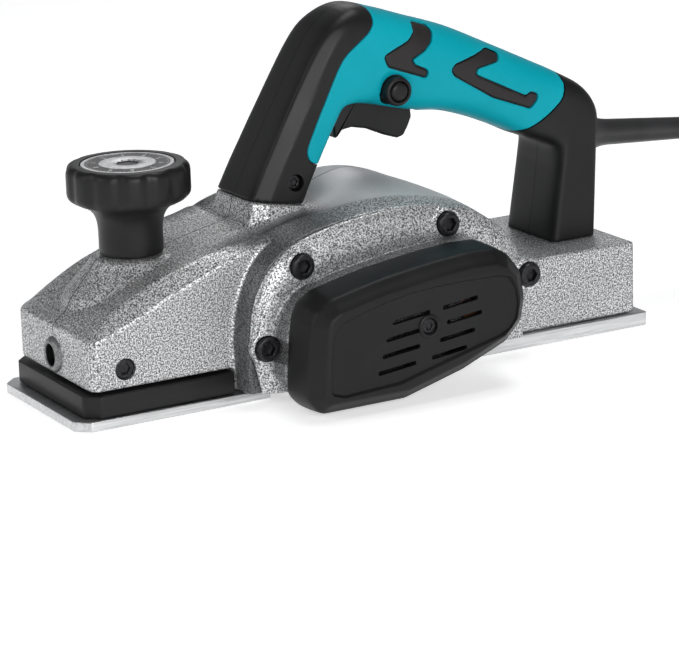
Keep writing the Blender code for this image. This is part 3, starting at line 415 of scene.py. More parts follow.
def cast(ob, voxel, rounds, factor=0.5):
    """One skin over all solids in the mesh, with small natural fillets."""
    m = ob.modifiers.new("skin", 'REMESH')
    m.mode = 'VOXEL'
    m.voxel_size = voxel * MM
    m.adaptivity = 0.0
    s = ob.modifiers.new("fillet", 'SMOOTH')
    s.factor = factor
    s.iterations = rounds
    return settle(ob)


def boole(ob, tool, op='DIFFERENCE', own=False):
    m = ob.modifiers.new("cut", 'BOOLEAN')
    m.operation = op
    m.solver = 'EXACT'
    m.use_self = own
    m.object = tool
    settle(ob)
    bpy.data.objects.remove(tool, do_unlink=True)
    return ob


def bevel(ob, width, segments=3, angle=30):
    m = ob.modifiers.new("edge", 'BEVEL')
    m.width = width * MM
    m.segments = segments
    m.limit_method = 'ANGLE'
    m.angle_limit = math.radians(angle)
    m.use_clamp_overlap = True
    return settle(ob)


def smooth(ob, angle=40):
    for p in ob.data.polygons:
        p.use_smooth = True
    ob.data.set_sharp_from_angle(angle=math.radians(angle))
    return ob


def clean(ob):
    bm = bmesh.new()
    bm.from_mesh(ob.data)
    bmesh.ops.remove_doubles(bm, verts=bm.verts, dist=2e-6)
    bmesh.ops.dissolve_degenerate(bm, edges=bm.edges, dist=1e-6)
    loose = [v for v in bm.verts if not v.link_faces]
    bmesh.ops.delete(bm, geom=loose, context='VERTS')
    bm.to_mesh(ob.data)
    bm.free()
    return ob


def dress(ob, mat, body, slot, *nodes, angle=40):
    ob.data.materials.clear()
    ob.data.materials.append(mat)
    if ob.type == 'MESH':
        for p in ob.data.polygons:
            p.material_index = 0
        smooth(ob, angle)
    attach(ob, body)
    if nodes:
        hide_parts(*nodes)
    return ob


def curve_through(points, sub, closed=False):
    """Catmull-Rom points through a list of tuples (any dimension)."""
    n = len(points)
    out = []
    last = n if closed else n - 1
    for i in range(last):
        if closed:
            p0, p1, p2, p3 = (points[(i + k) % n] for k in (-1, 0, 1, 2))
        else:
            p1, p2 = points[i], points[i + 1]
            p0 = points[i - 1] if i else tuple(
                2 * a - b for a, b in zip(p1, p2))
            p3 = points[i + 2] if i + 2 < n else tuple(
                2 * a - b for a, b in zip(p2, p1))
        for k in range(sub):
            t = k / sub
            out.append(tuple(
                0.5 * (2 * b + (c - a) * t + (2 * a - 5 * b + 4 * c - d) * t * t
                       + (3 * b - a - 3 * c + d) * t ** 3)
                for a, b, c, d in zip(p0, p1, p2, p3)))
    if not closed:
        out.append(tuple(points[-1]))
    return out


def grow(outline, d):
    n = len(outline)
    area = sum(outline[i][0] * outline[(i + 1) % n][1]
               - outline[(i + 1) % n][0] * outline[i][1] for i in range(n))
    s = 1 if area > 0 else -1
    out = []
    for i in range(n):
        p, q, r = (Vector(outline[(i + k) % n]) for k in (-1, 0, 1))
        a, b = (q - p).normalized(), (r - q).normalized()
        na, nb = Vector((a.y, -a.x)) * s, Vector((b.y, -b.x)) * s
        m = na + nb
        k = max(0.3, (m.length ** 2) / 4)
        out.append(tuple(q + m * (0.5 * d / k)))
    return out


def rounded(outline, r, n=5, keep=()):
    """Outline with each corner replaced by a small arc of radius r."""
    out = []
    m = len(outline)
    for i in range(m):
        p, q, s = (Vector(outline[(i + k) % m]) for k in (-1, 0, 1))
        a, b = (p - q), (s - q)
        la, lb = a.length, b.length
        a.normalize()
        b.normalize()
        turn = math.pi - a.angle(b)
        if turn < 0.05 or i in keep:
            out.append(tuple(q))
            continue
        cut = min(r * math.tan(turn / 2), 0.45 * la, 0.45 * lb)
        p0, p1 = q + a * cut, q + b * cut
        for k in range(n + 1):
            t = k / n
            out.append(tuple(p0 * (1 - t) ** 2 + q * 2 * t * (1 - t)
                             + p1 * t * t))
    return out


def circle(c, r, n, start=0.0):
    return [(c[0] + r * math.cos(start + 2 * math.pi * i / n),
             c[1] + r * math.sin(start + 2 * math.pi * i / n))
            for i in range(n)]


def blend(a, b, t):
    return [tuple(x * (1 - t) + y * t for x, y in zip(p, q))
            for p, q in zip(a, b)]


def at_y(outline, y):
    return [(x, y, z) for x, z in outline]


# ==========================================================================
# Cord: straight out of its guard, down on to a stored coil, then the plug
# ==========================================================================
CORD_R = 3.75
COIL_R = 41.0
COIL_C = (243.0, -41.0)
GUARD_START = Vector((136.6, 0, 86.15))
GUARD_DIR = Vector((1, 0, -0.087)).normalized()
GUARD_LEN = 72.5
GUARD_END = GUARD_START + GUARD_DIR * (GUARD_LEN + 0.3)
LEAD_SWEEP = math.radians(125)
TOP_TURN_Z = 16.75
PLUG_X = COIL_C[0] + 48.5
PLUG_Y = COIL_C[1] - 29.4


def lead_point(t):
    run = COIL_C[0] - GUARD_END.x
    total = run + LEAD_SWEEP * COIL_R
    s = t * total
    h = t * t * t * (10 - 15 * t + 6 * t * t)
    drop = GUARD_END.z - TOP_TURN_Z
    z = GUARD_END.z - 0.087 * s * (1 - t) ** 3 - drop * h
    if s <= run:
        return (GUARD_END.x + s, 0.0, z)
    a = math.pi / 2 - (s - run) / COIL_R
    return (COIL_C[0] + COIL_R * math.cos(a),
            COIL_C[1] + COIL_R * math.sin(a), z)


def ease(t):
    t = min(1.0, max(0.0, t))
    return t * t * (3 - 2 * t)


TURNS = ((41.0, 16.75), (44.75, 10.25), (37.25, 10.25), (33.5, 3.75),
         (41.0, 3.75), (48.5, 3.75))
TURNED = math.radians(325 + 360 * 5)


def coil_point(a):
    """Point after turning by angle a, clockwise, from the lead's end."""
    n = a / (2 * math.pi)
    i = min(int(n), len(TURNS) - 1)
    f = n - i
    r, z = TURNS[i]
    if i + 1 < len(TURNS):
        k = ease((f - 0.78) / 0.22)
        r += (TURNS[i + 1][0] - r) * k
        z += (TURNS[i + 1][1] - z) * k
    t = math.pi / 2 - LEAD_SWEEP - a
    return (COIL_C[0] + r * math.cos(t), COIL_C[1] + r * math.sin(t), z)


start = GUARD_START + GUARD_DIR * (GUARD_LEN - 6.0)
route = [tuple(start)] + [lead_point(i / 40) for i in range(40)]
count = 330
route += [coil_point(TURNED * i / count) for i in range(count + 1)]
for i in range(1, 9):
    t = i / 8
    route.append((PLUG_X, COIL_C[1] - 31.4 * t, 3.75 + 4.45 * ease(t)))
cu = bpy.data.curves.new("mains_cord", 'CURVE')
cu.dimensions = '3D'
cu.bevel_depth = CORD_R * MM
cu.bevel_resolution = 5
cu.use_fill_caps = True
sp = cu.splines.new('POLY')
sp.points.add(len(route) - 1)
for p, q in zip(sp.points, route):
    p.co = (q[0] * MM, q[1] * MM, q[2] * MM, 1)
sp.use_smooth = True
mains = bpy.data.objects.new("mains_cord", cu)
scene.collection.objects.link(mains)
cu.materials.append(CORD_LOOK)
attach(mains, BODY)
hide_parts("cord_lead", "cord_coil")


def plug_ring(d, w, h, n=40, e=0.6):
    pts = []
    for k in range(n):
        t = 2 * math.pi * (k + 0.5) / n
        c, s = math.cos(t), math.sin(t)
        pts.append((PLUG_X + w * math.copysign(abs(c) ** e, c), PLUG_Y - d,
                    8.2 + h * math.copysign(abs(s) ** e, s)))
    return pts


bm = bmesh.new()
rows = [(0, 4.3, 4.3), (0.6, 4.4, 4.4)]
for i in range(6):            # strain relief with shallow grooves
    d = 1.6 + 2.1 * i
    w = 4.4 + 0.2 * i
    rows += [(d, w, w), (d + 0.35, w - 0.6, w - 0.6), (d + 0.95, w - 0.6, w - 0.6),
             (d + 1.3, w + 0.05, w + 0.05)]
rows += [(15, 5.9, 5.8), (18, 8.6, 7.0), (22, 11.4, 7.7), (26, 12.6, 8.0),
         (30, 12.8, 8.0), (33.5, 12.3, 7.6), (37, 12.2, 7.5), (41, 12.6, 7.8),
         (45, 12.8, 8.0), (48.6, 12.6, 7.9), (49.6, 12.2, 7.5), (50, 11.6, 7.0)]
add_loft(bm, [plug_ring(*r) for r in rows])
plug_body = make("plug_body", bm)
dress(plug_body, CORD_LOOK, BODY, "cord_rubber", "plug", angle=50)
bm = bmesh.new()
for dx in (-9.5, 9.5):
    add_turned(bm, [(0, 19.0), (1.0, 19.0), (1.6, 18.7), (2.0, 18.0), (2.0, -2),
                    (0, -2)], (PLUG_X + dx, PLUG_Y - 50, 8.2), (0, -1, 0), 28)
plug_pins = make("plug_pins", bm)
dress(plug_pins, BRASS, BODY, "steel")

bm = bmesh.new()
prof = [(0, GUARD_LEN)] + [(4.3, GUARD_LEN), (4.9, GUARD_LEN - 0.4),
                           (5.05, GUARD_LEN - 1.2), (5.3, 58), (5.7, 40),
                           (6.2, 16), (6.5, 12.5), (7.3, 9.2), (8.4, 6.0),
                           (9.2, 4.0), (9.5, 2.8), (9.5, 1.2), (9.1, 0.7),
                           (5.2, 0.6), (5.2, -10), (0, -10)]
add_turned(bm, prof, tuple(GUARD_START), tuple(GUARD_DIR), 48)
guard = make("cord_sleeve", bm)
dress(guard, CORD_LOOK, BODY, "cord_rubber", "cord_guard", angle=50)

# ==========================================================================
# Cast body: front casting, motor housing, neck, bell, rear block
# ==========================================================================
FRONT_BOTTOM = 15.8
FRONT_STATIONS = [
    (-138.6, 38.0, 37.4), (-134.0, 42.0, 39.2), (-128.0, 46.3, 41.0),
    (-114.0, 54.3, 46.1), (-100.0, 60.0, 52.8), (-85.0, 64.8, 58.6),
    (-70.0, 68.8, 64.8), (-52.0, 72.6, 71.0)]
DOME_MID = [(-68, 28), (-66, 44), (-62, 58), (-55, 66), (-46, 71), (-35, 74.5),
            (-22, 77.4), (-6, 84.8), (8, 87.8), (20, 85.5), (33, 80.2),
            (47, 74.3), (60, 68), (72, 60.5), (82, 51), (89, 37)]
DOME_SHOULDER = [(-73, 28), (-70, 44), (-65, 57), (-58, 67.5), (-47, 74),
                 (-34, 76.8), (-20, 78.6), (-6, 80.2), (9, 80.2), (23, 79),
                 (36, 76.5), (47, 73.2), (57, 67.5), (67, 60), (75, 50),
                 (80, 36)]
DOME_EDGE = [(-67.4, 28), (-65.5, 43), (-61, 53.5), (-55, 61.5), (-45, 68.8),
             (-33, 73), (-19, 75.8), (-5, 77.4), (10, 77.8), (24, 77),
             (36, 75.4), (46, 72.6), (55, 67), (63, 61), (69.5, 53),
             (74.5, 42)]
KNOB_X = -98.9
DRUM = (-39.0, 20.0)
MOTOR = (25.0, 36.0)
EAR = (75.0, 38.0)
CHUTE = [(-1.5, 43.6), (-3.5, 52), (-12, 60.5), (-28, 63.2), (-46, 62.8),
         (-60, 59), (-67, 51.5), (-69, 43.6)]
BRACKET_SCREWS = ((-60.5, 26.0), (-41.9, 60.0), (32.4, 67.9), EAR)


def front_ring(x, zc, zs, half=38.0):
    k = half / 38.0
    return [(x, -half, FRONT_BOTTOM), (x, -half, zs), (x, -31.5 * k, zc),
            (x, 31.5 * k, zc), (x, half, zs), (x, half, FRONT_BOTTOM)]


def housing_ring(y):
    side = abs(y)
    if side <= 33:
        w = 1 - (side / 33) ** 1.6
        prof = blend(DOME_SHOULDER, DOME_MID, w)
    else:
        prof = blend(DOME_SHOULDER, DOME_EDGE, (side - 33) / 13)
    top = curve_through(prof, 4)
    foot = [(top[-1][0], 6.9), (-17.5, 6.9), (-17.5, 4.6),
            (top[0][0] + 1, 4.6)]
    return at_y(top + foot, y)


def foot_z(x):
    return 82.7 - 0.173 * (x + 47.9)


def neck_ring(x0, x1, half, z):
    xs = [(x0, -9), (x0, 9), (x0 + 0.8, half - 3.5), (x0 + 8, half),
          (x1, half), (x1, -half), (x0 + 8, -half), (x0 + 0.8, -half + 3.5)]
    return [(x, y, foot_z(x) if z is None else z) for x, y in xs]


def body_form():
    bm = bmesh.new()
    ends = [(-138.6, 37.9, 37.0, 33.6), (-137.9, 38.6, 37.6, 36.0),
            (-136.4, 39.9, 38.3, 37.5), (-134.4, 41.6, 39.0, 38.0)]
    stations = curve_through(FRONT_STATIONS[1:], 6)
    add_loft(bm, [front_ring(x, zc, zs, h) for x, zc, zs, h in ends]
             + [front_ring(*s) for s in stations])
    ys = [-46, -42.5, -38, -35, -33, -30, -24, -18, -12, -6, 0]
    ys = ys + [-y for y in reversed(ys[:-1])]
    add_loft(bm, [housing_ring(y) for y in ys])
    add_box(bm, (60, -39.5, 6.9), (141, 39.5, 41))
    add_loft(bm, [neck_ring(-53, -14, 21.5, 60), neck_ring(-51.5, -17, 20.6, 69.5),
                  neck_ring(-48.3, -21.4, 20.0, None)])
    bell = curve_through([(18.6, 62.2), (21.5, 58.6), (26, 53.5), (31, 47.5),
                          (33, 42)], 4)
    add_turned(bm, [(0, 64.5), (16.4, 64.5), (17.8, 63.6)] + bell + [(0, 42)],
               (KNOB_X, 0, 0), (0, 0, 1), 96)
    for s in (-1, 1):
        add_rod(bm, (EAR[0], 0, EAR[1]), (0, s, 0), 8.0, 36, 46, 48)
    return bm


body_all = make("body_all", body_form())
cast(body_all, 0.85, 7)


def body_tools(side):
    """Openings that show from outside or from below."""
    bm = bmesh.new()
    add_turned(bm, [(0, 36), (5.2, 36), (5.2, 0), (0, 0)],
               (-150, 0, 24.7), (1, 0, 0), 40)
    tools = [make("t_bore", bm)]
    bm = bmesh.new()
    add_turned(bm, [(0, 41.3), (20.6, 41.3), (20.6, -41.3), (0, -41.3)],
               (DRUM[0], 0, DRUM[1]), (0, 1, 0), 48)
    tools.append(make("t_drum", bm))
    bm = bmesh.new()
    add_box(bm, (-58.6, -41.31, -2), (-18.4, 41.31, 20))
    tools.append(make("t_throat", bm))
    bm = bmesh.new()
    add_box(bm, (-84, -41.32, -2), (-50, 41.32, 6.1))
    tools.append(make("t_shoe_room", bm))
    bm = bmesh.new()
    add_box(bm, (-90, -50, -3), (-70.6, 50, FRONT_BOTTOM))
    tools.append(make("t_skirt_room", bm))
    bm = bmesh.new()
    add_rod(bm, (KNOB_X, 0, 0), (0, 0, 1), 4.4, 5, 80, 32)
    add_turned(bm, [(0, 6), (4.9, 6), (4.9, -3.2), (0, -3.2)],
               (-122.6, side * 38, 24.4), (0, side, 0), 32)
    tools.append(make("t_small", bm))
    if side > 0:
        bm = bmesh.new()
        add_prism(bm, grow(rounded(CHUTE, 2.5), 0.3), 'y', 21.7, 60)
        tools.append(make("t_chute", bm))
        bm = bmesh.new()
        add_prism(bm, rounded([(-9, 41.5), (-4, 56), (6, 62), (44, 62),
                               (56, 55), (62, 41.5)], 3), 'y', 40.5, 60)
        tools.append(make("t_recess", bm))
        bm = bmesh.new()
        add_prism(bm, [(-56, 30), (-60, 50), (-50, 59), (-24, 59), (-14, 48),
                       (-22, 30)], 'y', -36, 30)
        tools.append(make("t_chips", bm))
    bm = bmesh.new()
    lo, hi = (-0.12, 130) if side < 0 else (-130, 0.12)
    add_box(bm, (-200, lo, -20), (220, hi, 220))
    tools.append(make("t_half", bm))
    return tools


for side, name in ((-1, "left"), (1, "right")):
    half = bpy.data.objects.new("casting_" + name, body_all.data.copy())
    scene.collection.objects.link(half)
    for tool in body_tools(side):
        boole(half, tool)
    clean(half)
    dress(half, HAMMER, BODY, "cast", "body_" + name, angle=50)
bpy.data.objects.remove(body_all, do_unlink=True)

bm = bmesh.new()        # raised mouth of the guide rod hole
add_turned(bm, [(5.6, 2.5), (6.6, 2.3), (7.5, 1.6), (8.1, 0.4), (8.2, -3.0),
                (5.05, -3.0), (5.05, 2.1), (5.2, 2.4)],
           (-138.2, 0, 24.7), (-1, 0, 0), 64, closed=True)
rod_mouth = make("rod_mouth", bm)
dress(rod_mouth, RING_CAST, BODY, "cast")
bm = bmesh.new()
add_turned(bm, [(5.0, 2.0), (5.0, -1.2), (4.2, -2.0), (4.2, -21), (0.4, -21),
                (0.4, -20.6), (4.02, -20.6), (4.02, -1.9), (4.85, -1.1),
                (4.85, 2.0)], (-138.2, 0, 24.7), (-1, 0, 0), 48, closed=True)
rod_liner = make("rod_liner", bm)
dress(rod_liner, BLACK_SOFT, BODY, "black_plastic")

# ==========================================================================
# Belt side: bracket, screws, cover
# ==========================================================================
BOSS = [(-58, 14), (-58, 26), (-56, 36), (-51.5, 44.2), (-44.5, 49.8),
        (-34, 53.6), (-21, 56.4), (-6, 58.8), (8, 60.6), (20, 61.6),
        (31, 61.8), (41, 60.5), (50, 55.5), (56, 47.5), (58.5, 38), (55.5, 28)]
BOSS_FOOT = [(44, 18.5), (24, 11), (-8, 4.2), (-48, 4.2)]
EDGE_FOOT = [(72, 9), (-17.5, 5.2), (-30, 4.8), (-62, 4.8)]


def bracket_ring(y, t, lift=0.0):
    top = curve_through(blend(DOME_EDGE, BOSS, t), 4)
    foot = blend(EDGE_FOOT, BOSS_FOOT, t)
    return at_y(grow(top + foot, lift), y)


bm = bmesh.new()
levels = [(-46.3, 0.0), (-46.9, 0.01), (-47.8, 0.05), (-48.6, 0.13),
          (-49.4, 0.24), (-50.1, 0.36), (-50.6, 0.46), (-51.2, 0.7),
          (-51.7, 0.94), (-52.2, 0.985), (-53.0, 1.0), (-56.0, 1.0),
          (-61.9, 1.0)]
add_loft(bm, [bracket_ring(y, t, -0.4 if y < -60 else 0.0) for y, t in levels])
add_rod(bm, (EAR[0], 0, EAR[1]), (0, -1, 0), 7.7, 46.3, 50.6, 48)
for x, z in BRACKET_SCREWS[:3]:
    add_rod(bm, (x, 0, z), (0, -1, 0), 7.6, 46.6, 50.4, 48)
bracket = make("side_plate", bm)
cast(bracket, 0.62, 5)
for i, (x, z) in enumerate(BRACKET_SCREWS):
    bm = bmesh.new()
    add_turned(bm, [(0, 30), (6.0, 30), (6.0, 1.9), (0, 1.9)],
               (x, -46.3, z), (0, -1, 0), 48)
    boole(bracket, make("t_seat", bm))
bm = bmesh.new()
hollow = BOSS + BOSS_FOOT
add_prism(bm, rounded(grow(hollow, -3.6), 2.5), 'y', -57.5, -70)
boole(bracket, make("t_pocket", bm))
clean(bracket)
dress(bracket, HAMMER, BODY, "cast", "belt_bracket", angle=50)


def socket_screw(name, at, axis, r, h, washer=None, socket=0.5, depth=0.6,
                 node=None, body=BODY, under=2.0):
    """Domed button head with a six-sided socket, in place of a CAD screw."""
    q = Vector((0, 0, 1)).rotation_difference(Vector(axis).normalized())
    c = Vector(at)
    bm = bmesh.new()
    n = 48
    prof = [(r * socket * 1.16, h), (r * 0.80, h), (r * 0.92, h * 0.94),
            (r * 0.985, h * 0.80), (r, h * 0.62), (r, 0.35), (r * 0.97, 0.0),
            (r * 0.4, 0.0), (r * 0.4, -under)]
    rows = []
    for pr, ph in prof:
        rows.append([(pr * math.cos(2 * math.pi * i / n),
                      pr * math.sin(2 * math.pi * i / n), ph)
                     for i in range(n)])
    hexr = []
    for i in range(n):
        t = 2 * math.pi * i / n
        f = (t % (math.pi / 3)) - math.pi / 6
        rr = r * socket / math.cos(f)
        hexr.append((rr * math.cos(t), rr * math.sin(t)))
    rows.insert(0, [(x, y, h - 0.12) for x, y in hexr])
    rows.insert(0, [(x, y, h - h * depth) for x, y in hexr])
    rows.insert(0, [(x * 0.3, y * 0.3, h - h * depth - 0.3) for x, y in hexr])
    add_loft(bm, [[tuple(c + q @ Vector(p)) for p in row] for row in rows])
    ob = make(name, bm)
    dress(ob, SCREW, body, "blued_screw", *([node] if node else []), angle=35)
    return ob


for i, (x, z) in enumerate(BRACKET_SCREWS):
    socket_screw("side_screw_%d" % (i + 1), (x, -48.4, z), (0, -1, 0), 5.5,
                 4.6, node="bracket_screw_%d" % (i + 1))
socket_screw("rod_clamp_screw", (-122.6, -35.1, 24.4), (0, -1, 0), 4.6, 2.3,
             node="fence_clamp_screw")
socket_screw("drum_screw_1", (DRUM[0] - 17.5, 60.4, DRUM[1]), (0, 1, 0), 3.4,
             2.0, node="drum_cap_screw_1")
socket_screw("drum_screw_2", (DRUM[0] + 17.5, 60.4, DRUM[1]), (0, 1, 0), 3.4,
             2.0, node="drum_cap_screw_2")
for i, x in enumerate((10.0, 40.0)):
    socket_screw("vent_screw_%d" % (i + 1), (x, 68.1, 21), (0, 1, 0), 3.4, 1.9,
                 node="motor_cover_screw_%d" % (i + 1))

RIM = [(-55.4, 9), (-54, 28), (-52.4, 41.5), (-50, 46.8), (-44, 50.3),
       (-31, 53.2), (-17.9, 55.8), (-4, 57.7), (10, 59.4), (24, 60.5),
       (37, 60.2), (43.5, 57), (49.3, 49.6), (51.4, 38.5), (49.6, 28)]
RIM_FOOT = [(41.9, 20.1), (20.1, 11.4), (-9.4, 3.6), (-50.5, 3.6)]
PANEL = [(-48.5, 11.5), (-47.8, 27.4), (-46.4, 37.5), (-42.2, 42.0),
         (-30, 45.7), (-18.1, 48.4), (-8, 50.1), (4, 51.0), (22, 51.2),
         (37.3, 50.8), (42.6, 49.2), (46.3, 43.5), (47.3, 36), (46, 30),
         (43.0, 26), (38, 23.4), (21.3, 19.5), (-14.2, 10.6), (-42, 9.4)]
rim = rounded(RIM + RIM_FOOT, 5.0, 4)
panel = rounded(PANEL, 2.5, 4)


def cover_ring(y, d):
    return at_y(grow(rim, d), y)


bm = bmesh.new()
face = -86.0
steps = [(-62.3, 2.3), (-62.9, 2.5), (-66, 2.6), (-70, 2.5), (-74, 2.25),
         (-77, 2.0), (-79.8, 1.7), (-80.7, 1.2), (-81.2, 0.5), (-83.6, -1.6),
         (-85.2, -3.1), (-85.8, -3.8), (face, -4.4)]
add_loft(bm, [cover_ring(y, d) for y, d in steps])
cover = make("belt_guard", bm)
bm = bmesh.new()
add_loft(bm, [at_y(grow(panel, 0.5), -87), at_y(grow(panel, 0.35), -85.9),
              at_y(grow(panel, -0.35), -85.2), at_y(grow(panel, -0.4), -84.7)])
boole(cover, make("t_panel", bm))
SLOTS = []
for (xl, zl, xr, zr) in ((-17.2, 38.1, 8.3, 40.7), (-20.4, 30.9, 10.2, 33.8),
                         (-22.6, 23.7, 6.5, 26.4), (-24.8, 16.5, 2.2, 19.2)):
    for x0, z0, length in ((xl, zl, 19.0), (xr, zr, 18.0)):
        SLOTS.append([(x0, z0 - 1.0), (x0 + length, z0 + 1.0),
                      (x0 + length, z0 + 3.0), (x0, z0 + 1.0)])
bm = bmesh.new()
for s in SLOTS:
    add_prism(bm, rounded(s, 0.9, 3), 'y', -90, -80)
boole(cover, make("t_slots", bm))
bm = bmesh.new()
add_turned(bm, [(0, 92), (4.4, 92), (4.4, 83.4), (2.6, 82.6), (2.6, 76),
                (0, 76)], (1.2, 0, 33.7), (0, -1, 0), 40)
boole(cover, make("t_screw_hole", bm))
bm = bmesh.new()
add_loft(bm, [cover_ring(-60, -0.2), cover_ring(-74, -0.2),
              cover_ring(-82.4, -3.4)])
boole(cover, make("t_hollow", bm))
clean(cover)
dress(cover, BLACK_SOFT, BODY, "black_plastic", "belt_cover", angle=38)
bm = bmesh.new()        # low collar round the middle screw
add_turned(bm, [(3.9, 85.6), (4.6, 85.6), (5.2, 85.2), (5.3, 84.5),
                (3.7, 84.5), (3.7, 85.4)], (1.2, 0, 33.7), (0, -1, 0), 48,
           closed=True)
collar = make("cover_collar", bm)
dress(collar, BLACK_SOFT, BODY, "black_plastic")
socket_screw("cover_screw", (1.2, -82.7, 33.7), (0, -1, 0), 3.5, 1.7,
             node="belt_cover_screw", under=3.0)

# ==========================================================================
# Handle
# ==========================================================================
# outer x, z, inner x, z, half width, squareness, chamfer on the outer corners
STATIONS = (
    (-47.9, 83.2, -21.3, 78.6, 19.8, 7.0, 1.0),
    (-41.3, 95.6, -14.8, 91.5, 19.4, 7.0, 1.0),
    (-33.1, 110.3, -8.6, 102.0, 18.8, 6.5, 1.0),
    (-22.2, 129.3, -2.5, 111.8, 18.2, 6.0, 1.0),
    (-11.6, 146.5, 2.0, 117.3, 17.8, 5.5, 1.0),
    (-2.6, 156.7, 8.5, 118.3, 17.6, 4.8, 0.9),
    (10.5, 162.6, 17.5, 116.6, 17.6, 3.4, 0.45),
    (25.5, 159.2, 29.0, 113.2, 17.6, 2.9, 0.1),
    (41.0, 154.0, 42.0, 110.2, 17.6, 2.7, 0.0),
    (61.6, 147.0, 56.0, 108.4, 17.4, 2.6, 0.0),
    (82.9, 137.1, 70.5, 104.0, 17.4, 2.6, 0.0),
    (104.7, 126.6, 86.5, 97.4, 17.8, 2.9, 0.0),
    (118.5, 119.6, 99.0, 91.4, 18.6, 3.6, 0.0),
    (130.5, 112.0, 109.0, 88.0, 19.4, 4.6, 0.0),
    (136.2, 101.5, 113.4, 84.5, 20.0, 6.0, 0.0),
    (135.4, 88.0, 113.2, 76.0, 20.3, 7.5, 0.0),
    (133.2, 41.3, 107.8, 41.3, 20.8, 8.0, 0.0))
DENSE = curve_through(STATIONS[:-1], 5) + [STATIONS[-1]]
DENSE = DENSE[:-1] + [tuple(a + (b - a) * k / 8 for a, b in
                            zip(STATIONS[-2], STATIONS[-1]))
                      for k in range(1, 9)]


def station_ring(st, shrink, n=72):
    ox, oz, ix, iz, w, p, cham = st
    m = Vector(((ox + ix) / 2, 0, (oz + iz) / 2))
    u = Vector((ox - ix, 0, oz - iz))
    a = u.length / 2 - shrink
    u.normalize()
    w = w - shrink
    e = 2.0 / p
    pts = []
    for k in range(n):
        t = 2 * math.pi * (k + 0.5) / n
        c, s = math.cos(t), math.sin(t)
        x = a * math.copysign(abs(c) ** e, c)
        y = w * math.copysign(abs(s) ** e, s)
        if cham > 0 and x > 0:
            f = (a / 8 + w / 3.6 - 1) / (x / 8 + abs(y) / 3.6)
            if f < 1:
                f = 1 + (f - 1) * cham
                x, y = x * f, y * f
        pts.append(tuple(m + u * x + Vector((0, y, 0))))
    return pts


def handle_form(shrink, bm=None):
    bm = bm or bmesh.new()
    return add_loft(bm, [station_ring(s, shrink) for s in DENSE])


TEAL_EDGE = curve_through(
    [(17.9, 158.5), (17.4, 154.6), (14.3, 150.8), (9.0, 147.0), (2.3, 142.0),
     (-2.0, 136.3), (-6.9, 127.3), (-12.8, 116.4), (-17.8, 106.7),
     (-19.6, 102.1), (-19.0, 98.4), (-16.5, 96.2), (-12.0, 95.0)], 4)
TEAL_REAR = curve_through(
    [(88, 84), (92.5, 93.6), (98.5, 96.4), (108.0, 102.2), (115.0, 108.0),
     (117.6, 114.0), (117.6, 119.5), (122, 132)], 4)
TEAL_ZONE = ([(15.5, 172)] + TEAL_EDGE + [(-2, 88), (20, 88), (60, 88)]
             + TEAL_REAR + [(60, 172)])
CHEVRONS = (
    [(40.2, 152.4), (47.3, 149.8), (49.2, 146.9), (47.0, 142.8), (43.0, 139.6),
     (35.8, 136.2), (37.5, 133.4), (44.2, 130.2), (43.6, 127.4), (23.9, 134.6),
     (21.9, 139.3), (35.3, 144.6), (39.0, 148.0)],
    [(78.2, 135.5), (84.4, 132.4), (83.2, 129.8), (71.0, 128.2), (69.4, 125.0),
     (96.4, 111.7), (99.0, 113.4), (102.6, 112.0), (101.8, 109.4),
     (98.6, 106.4), (78.8, 114.0), (58.8, 126.2), (57.2, 128.8),
     (59.4, 131.0)])
CHEVRONS = [rounded(c, 1.6, 4) for c in CHEVRONS]
TRIGGER_ROOM = rounded([(-3.4, 96), (44.6, 96), (44.6, 124), (40, 127.5),
                        (13.5, 133), (2, 133), (-2, 127.5), (-3.4, 118)], 1.5)
LOCK = (27.2, 123.2)

whole = make("handle_all", handle_form(0.0))
cast(whole, 0.7, 4)
rebate = make("t_rebate", add_prism(bmesh.new(), grow(TEAL_ZONE, 0.45), 'y',
                                    -30, 30))
boole(rebate, make("t_core", handle_form(1.5)))
boole(whole, rebate)
bm = bmesh.new()
add_prism(bm, TRIGGER_ROOM, 'y', -7.9, 7.9)
boole(whole, make("t_trigger_room", bm))
bm = bmesh.new()
add_turned(bm, [(0, 6), (4.3, 6), (3.9, -0.4), (3.9, -5), (0, -5)],
           (-26.4, -20, 88.9), (0, -1, 0), 40)
boole(whole, make("t_screw_seat", bm))
for side, name in ((-1, "left"), (1, "right")):
    half = bpy.data.objects.new("shell_" + name, whole.data.copy())
    scene.collection.objects.link(half)
    bm = bmesh.new()
    lo, hi = (-0.1, 130) if side < 0 else (-130, 0.1)
    add_box(bm, (-200, lo, -20), (220, hi, 220))
    boole(half, make("t_half", bm))
    clean(half)
    dress(half, BLACK, BODY, "black_plastic", "handle_" + name, angle=45)
bpy.data.objects.remove(whole, do_unlink=True)

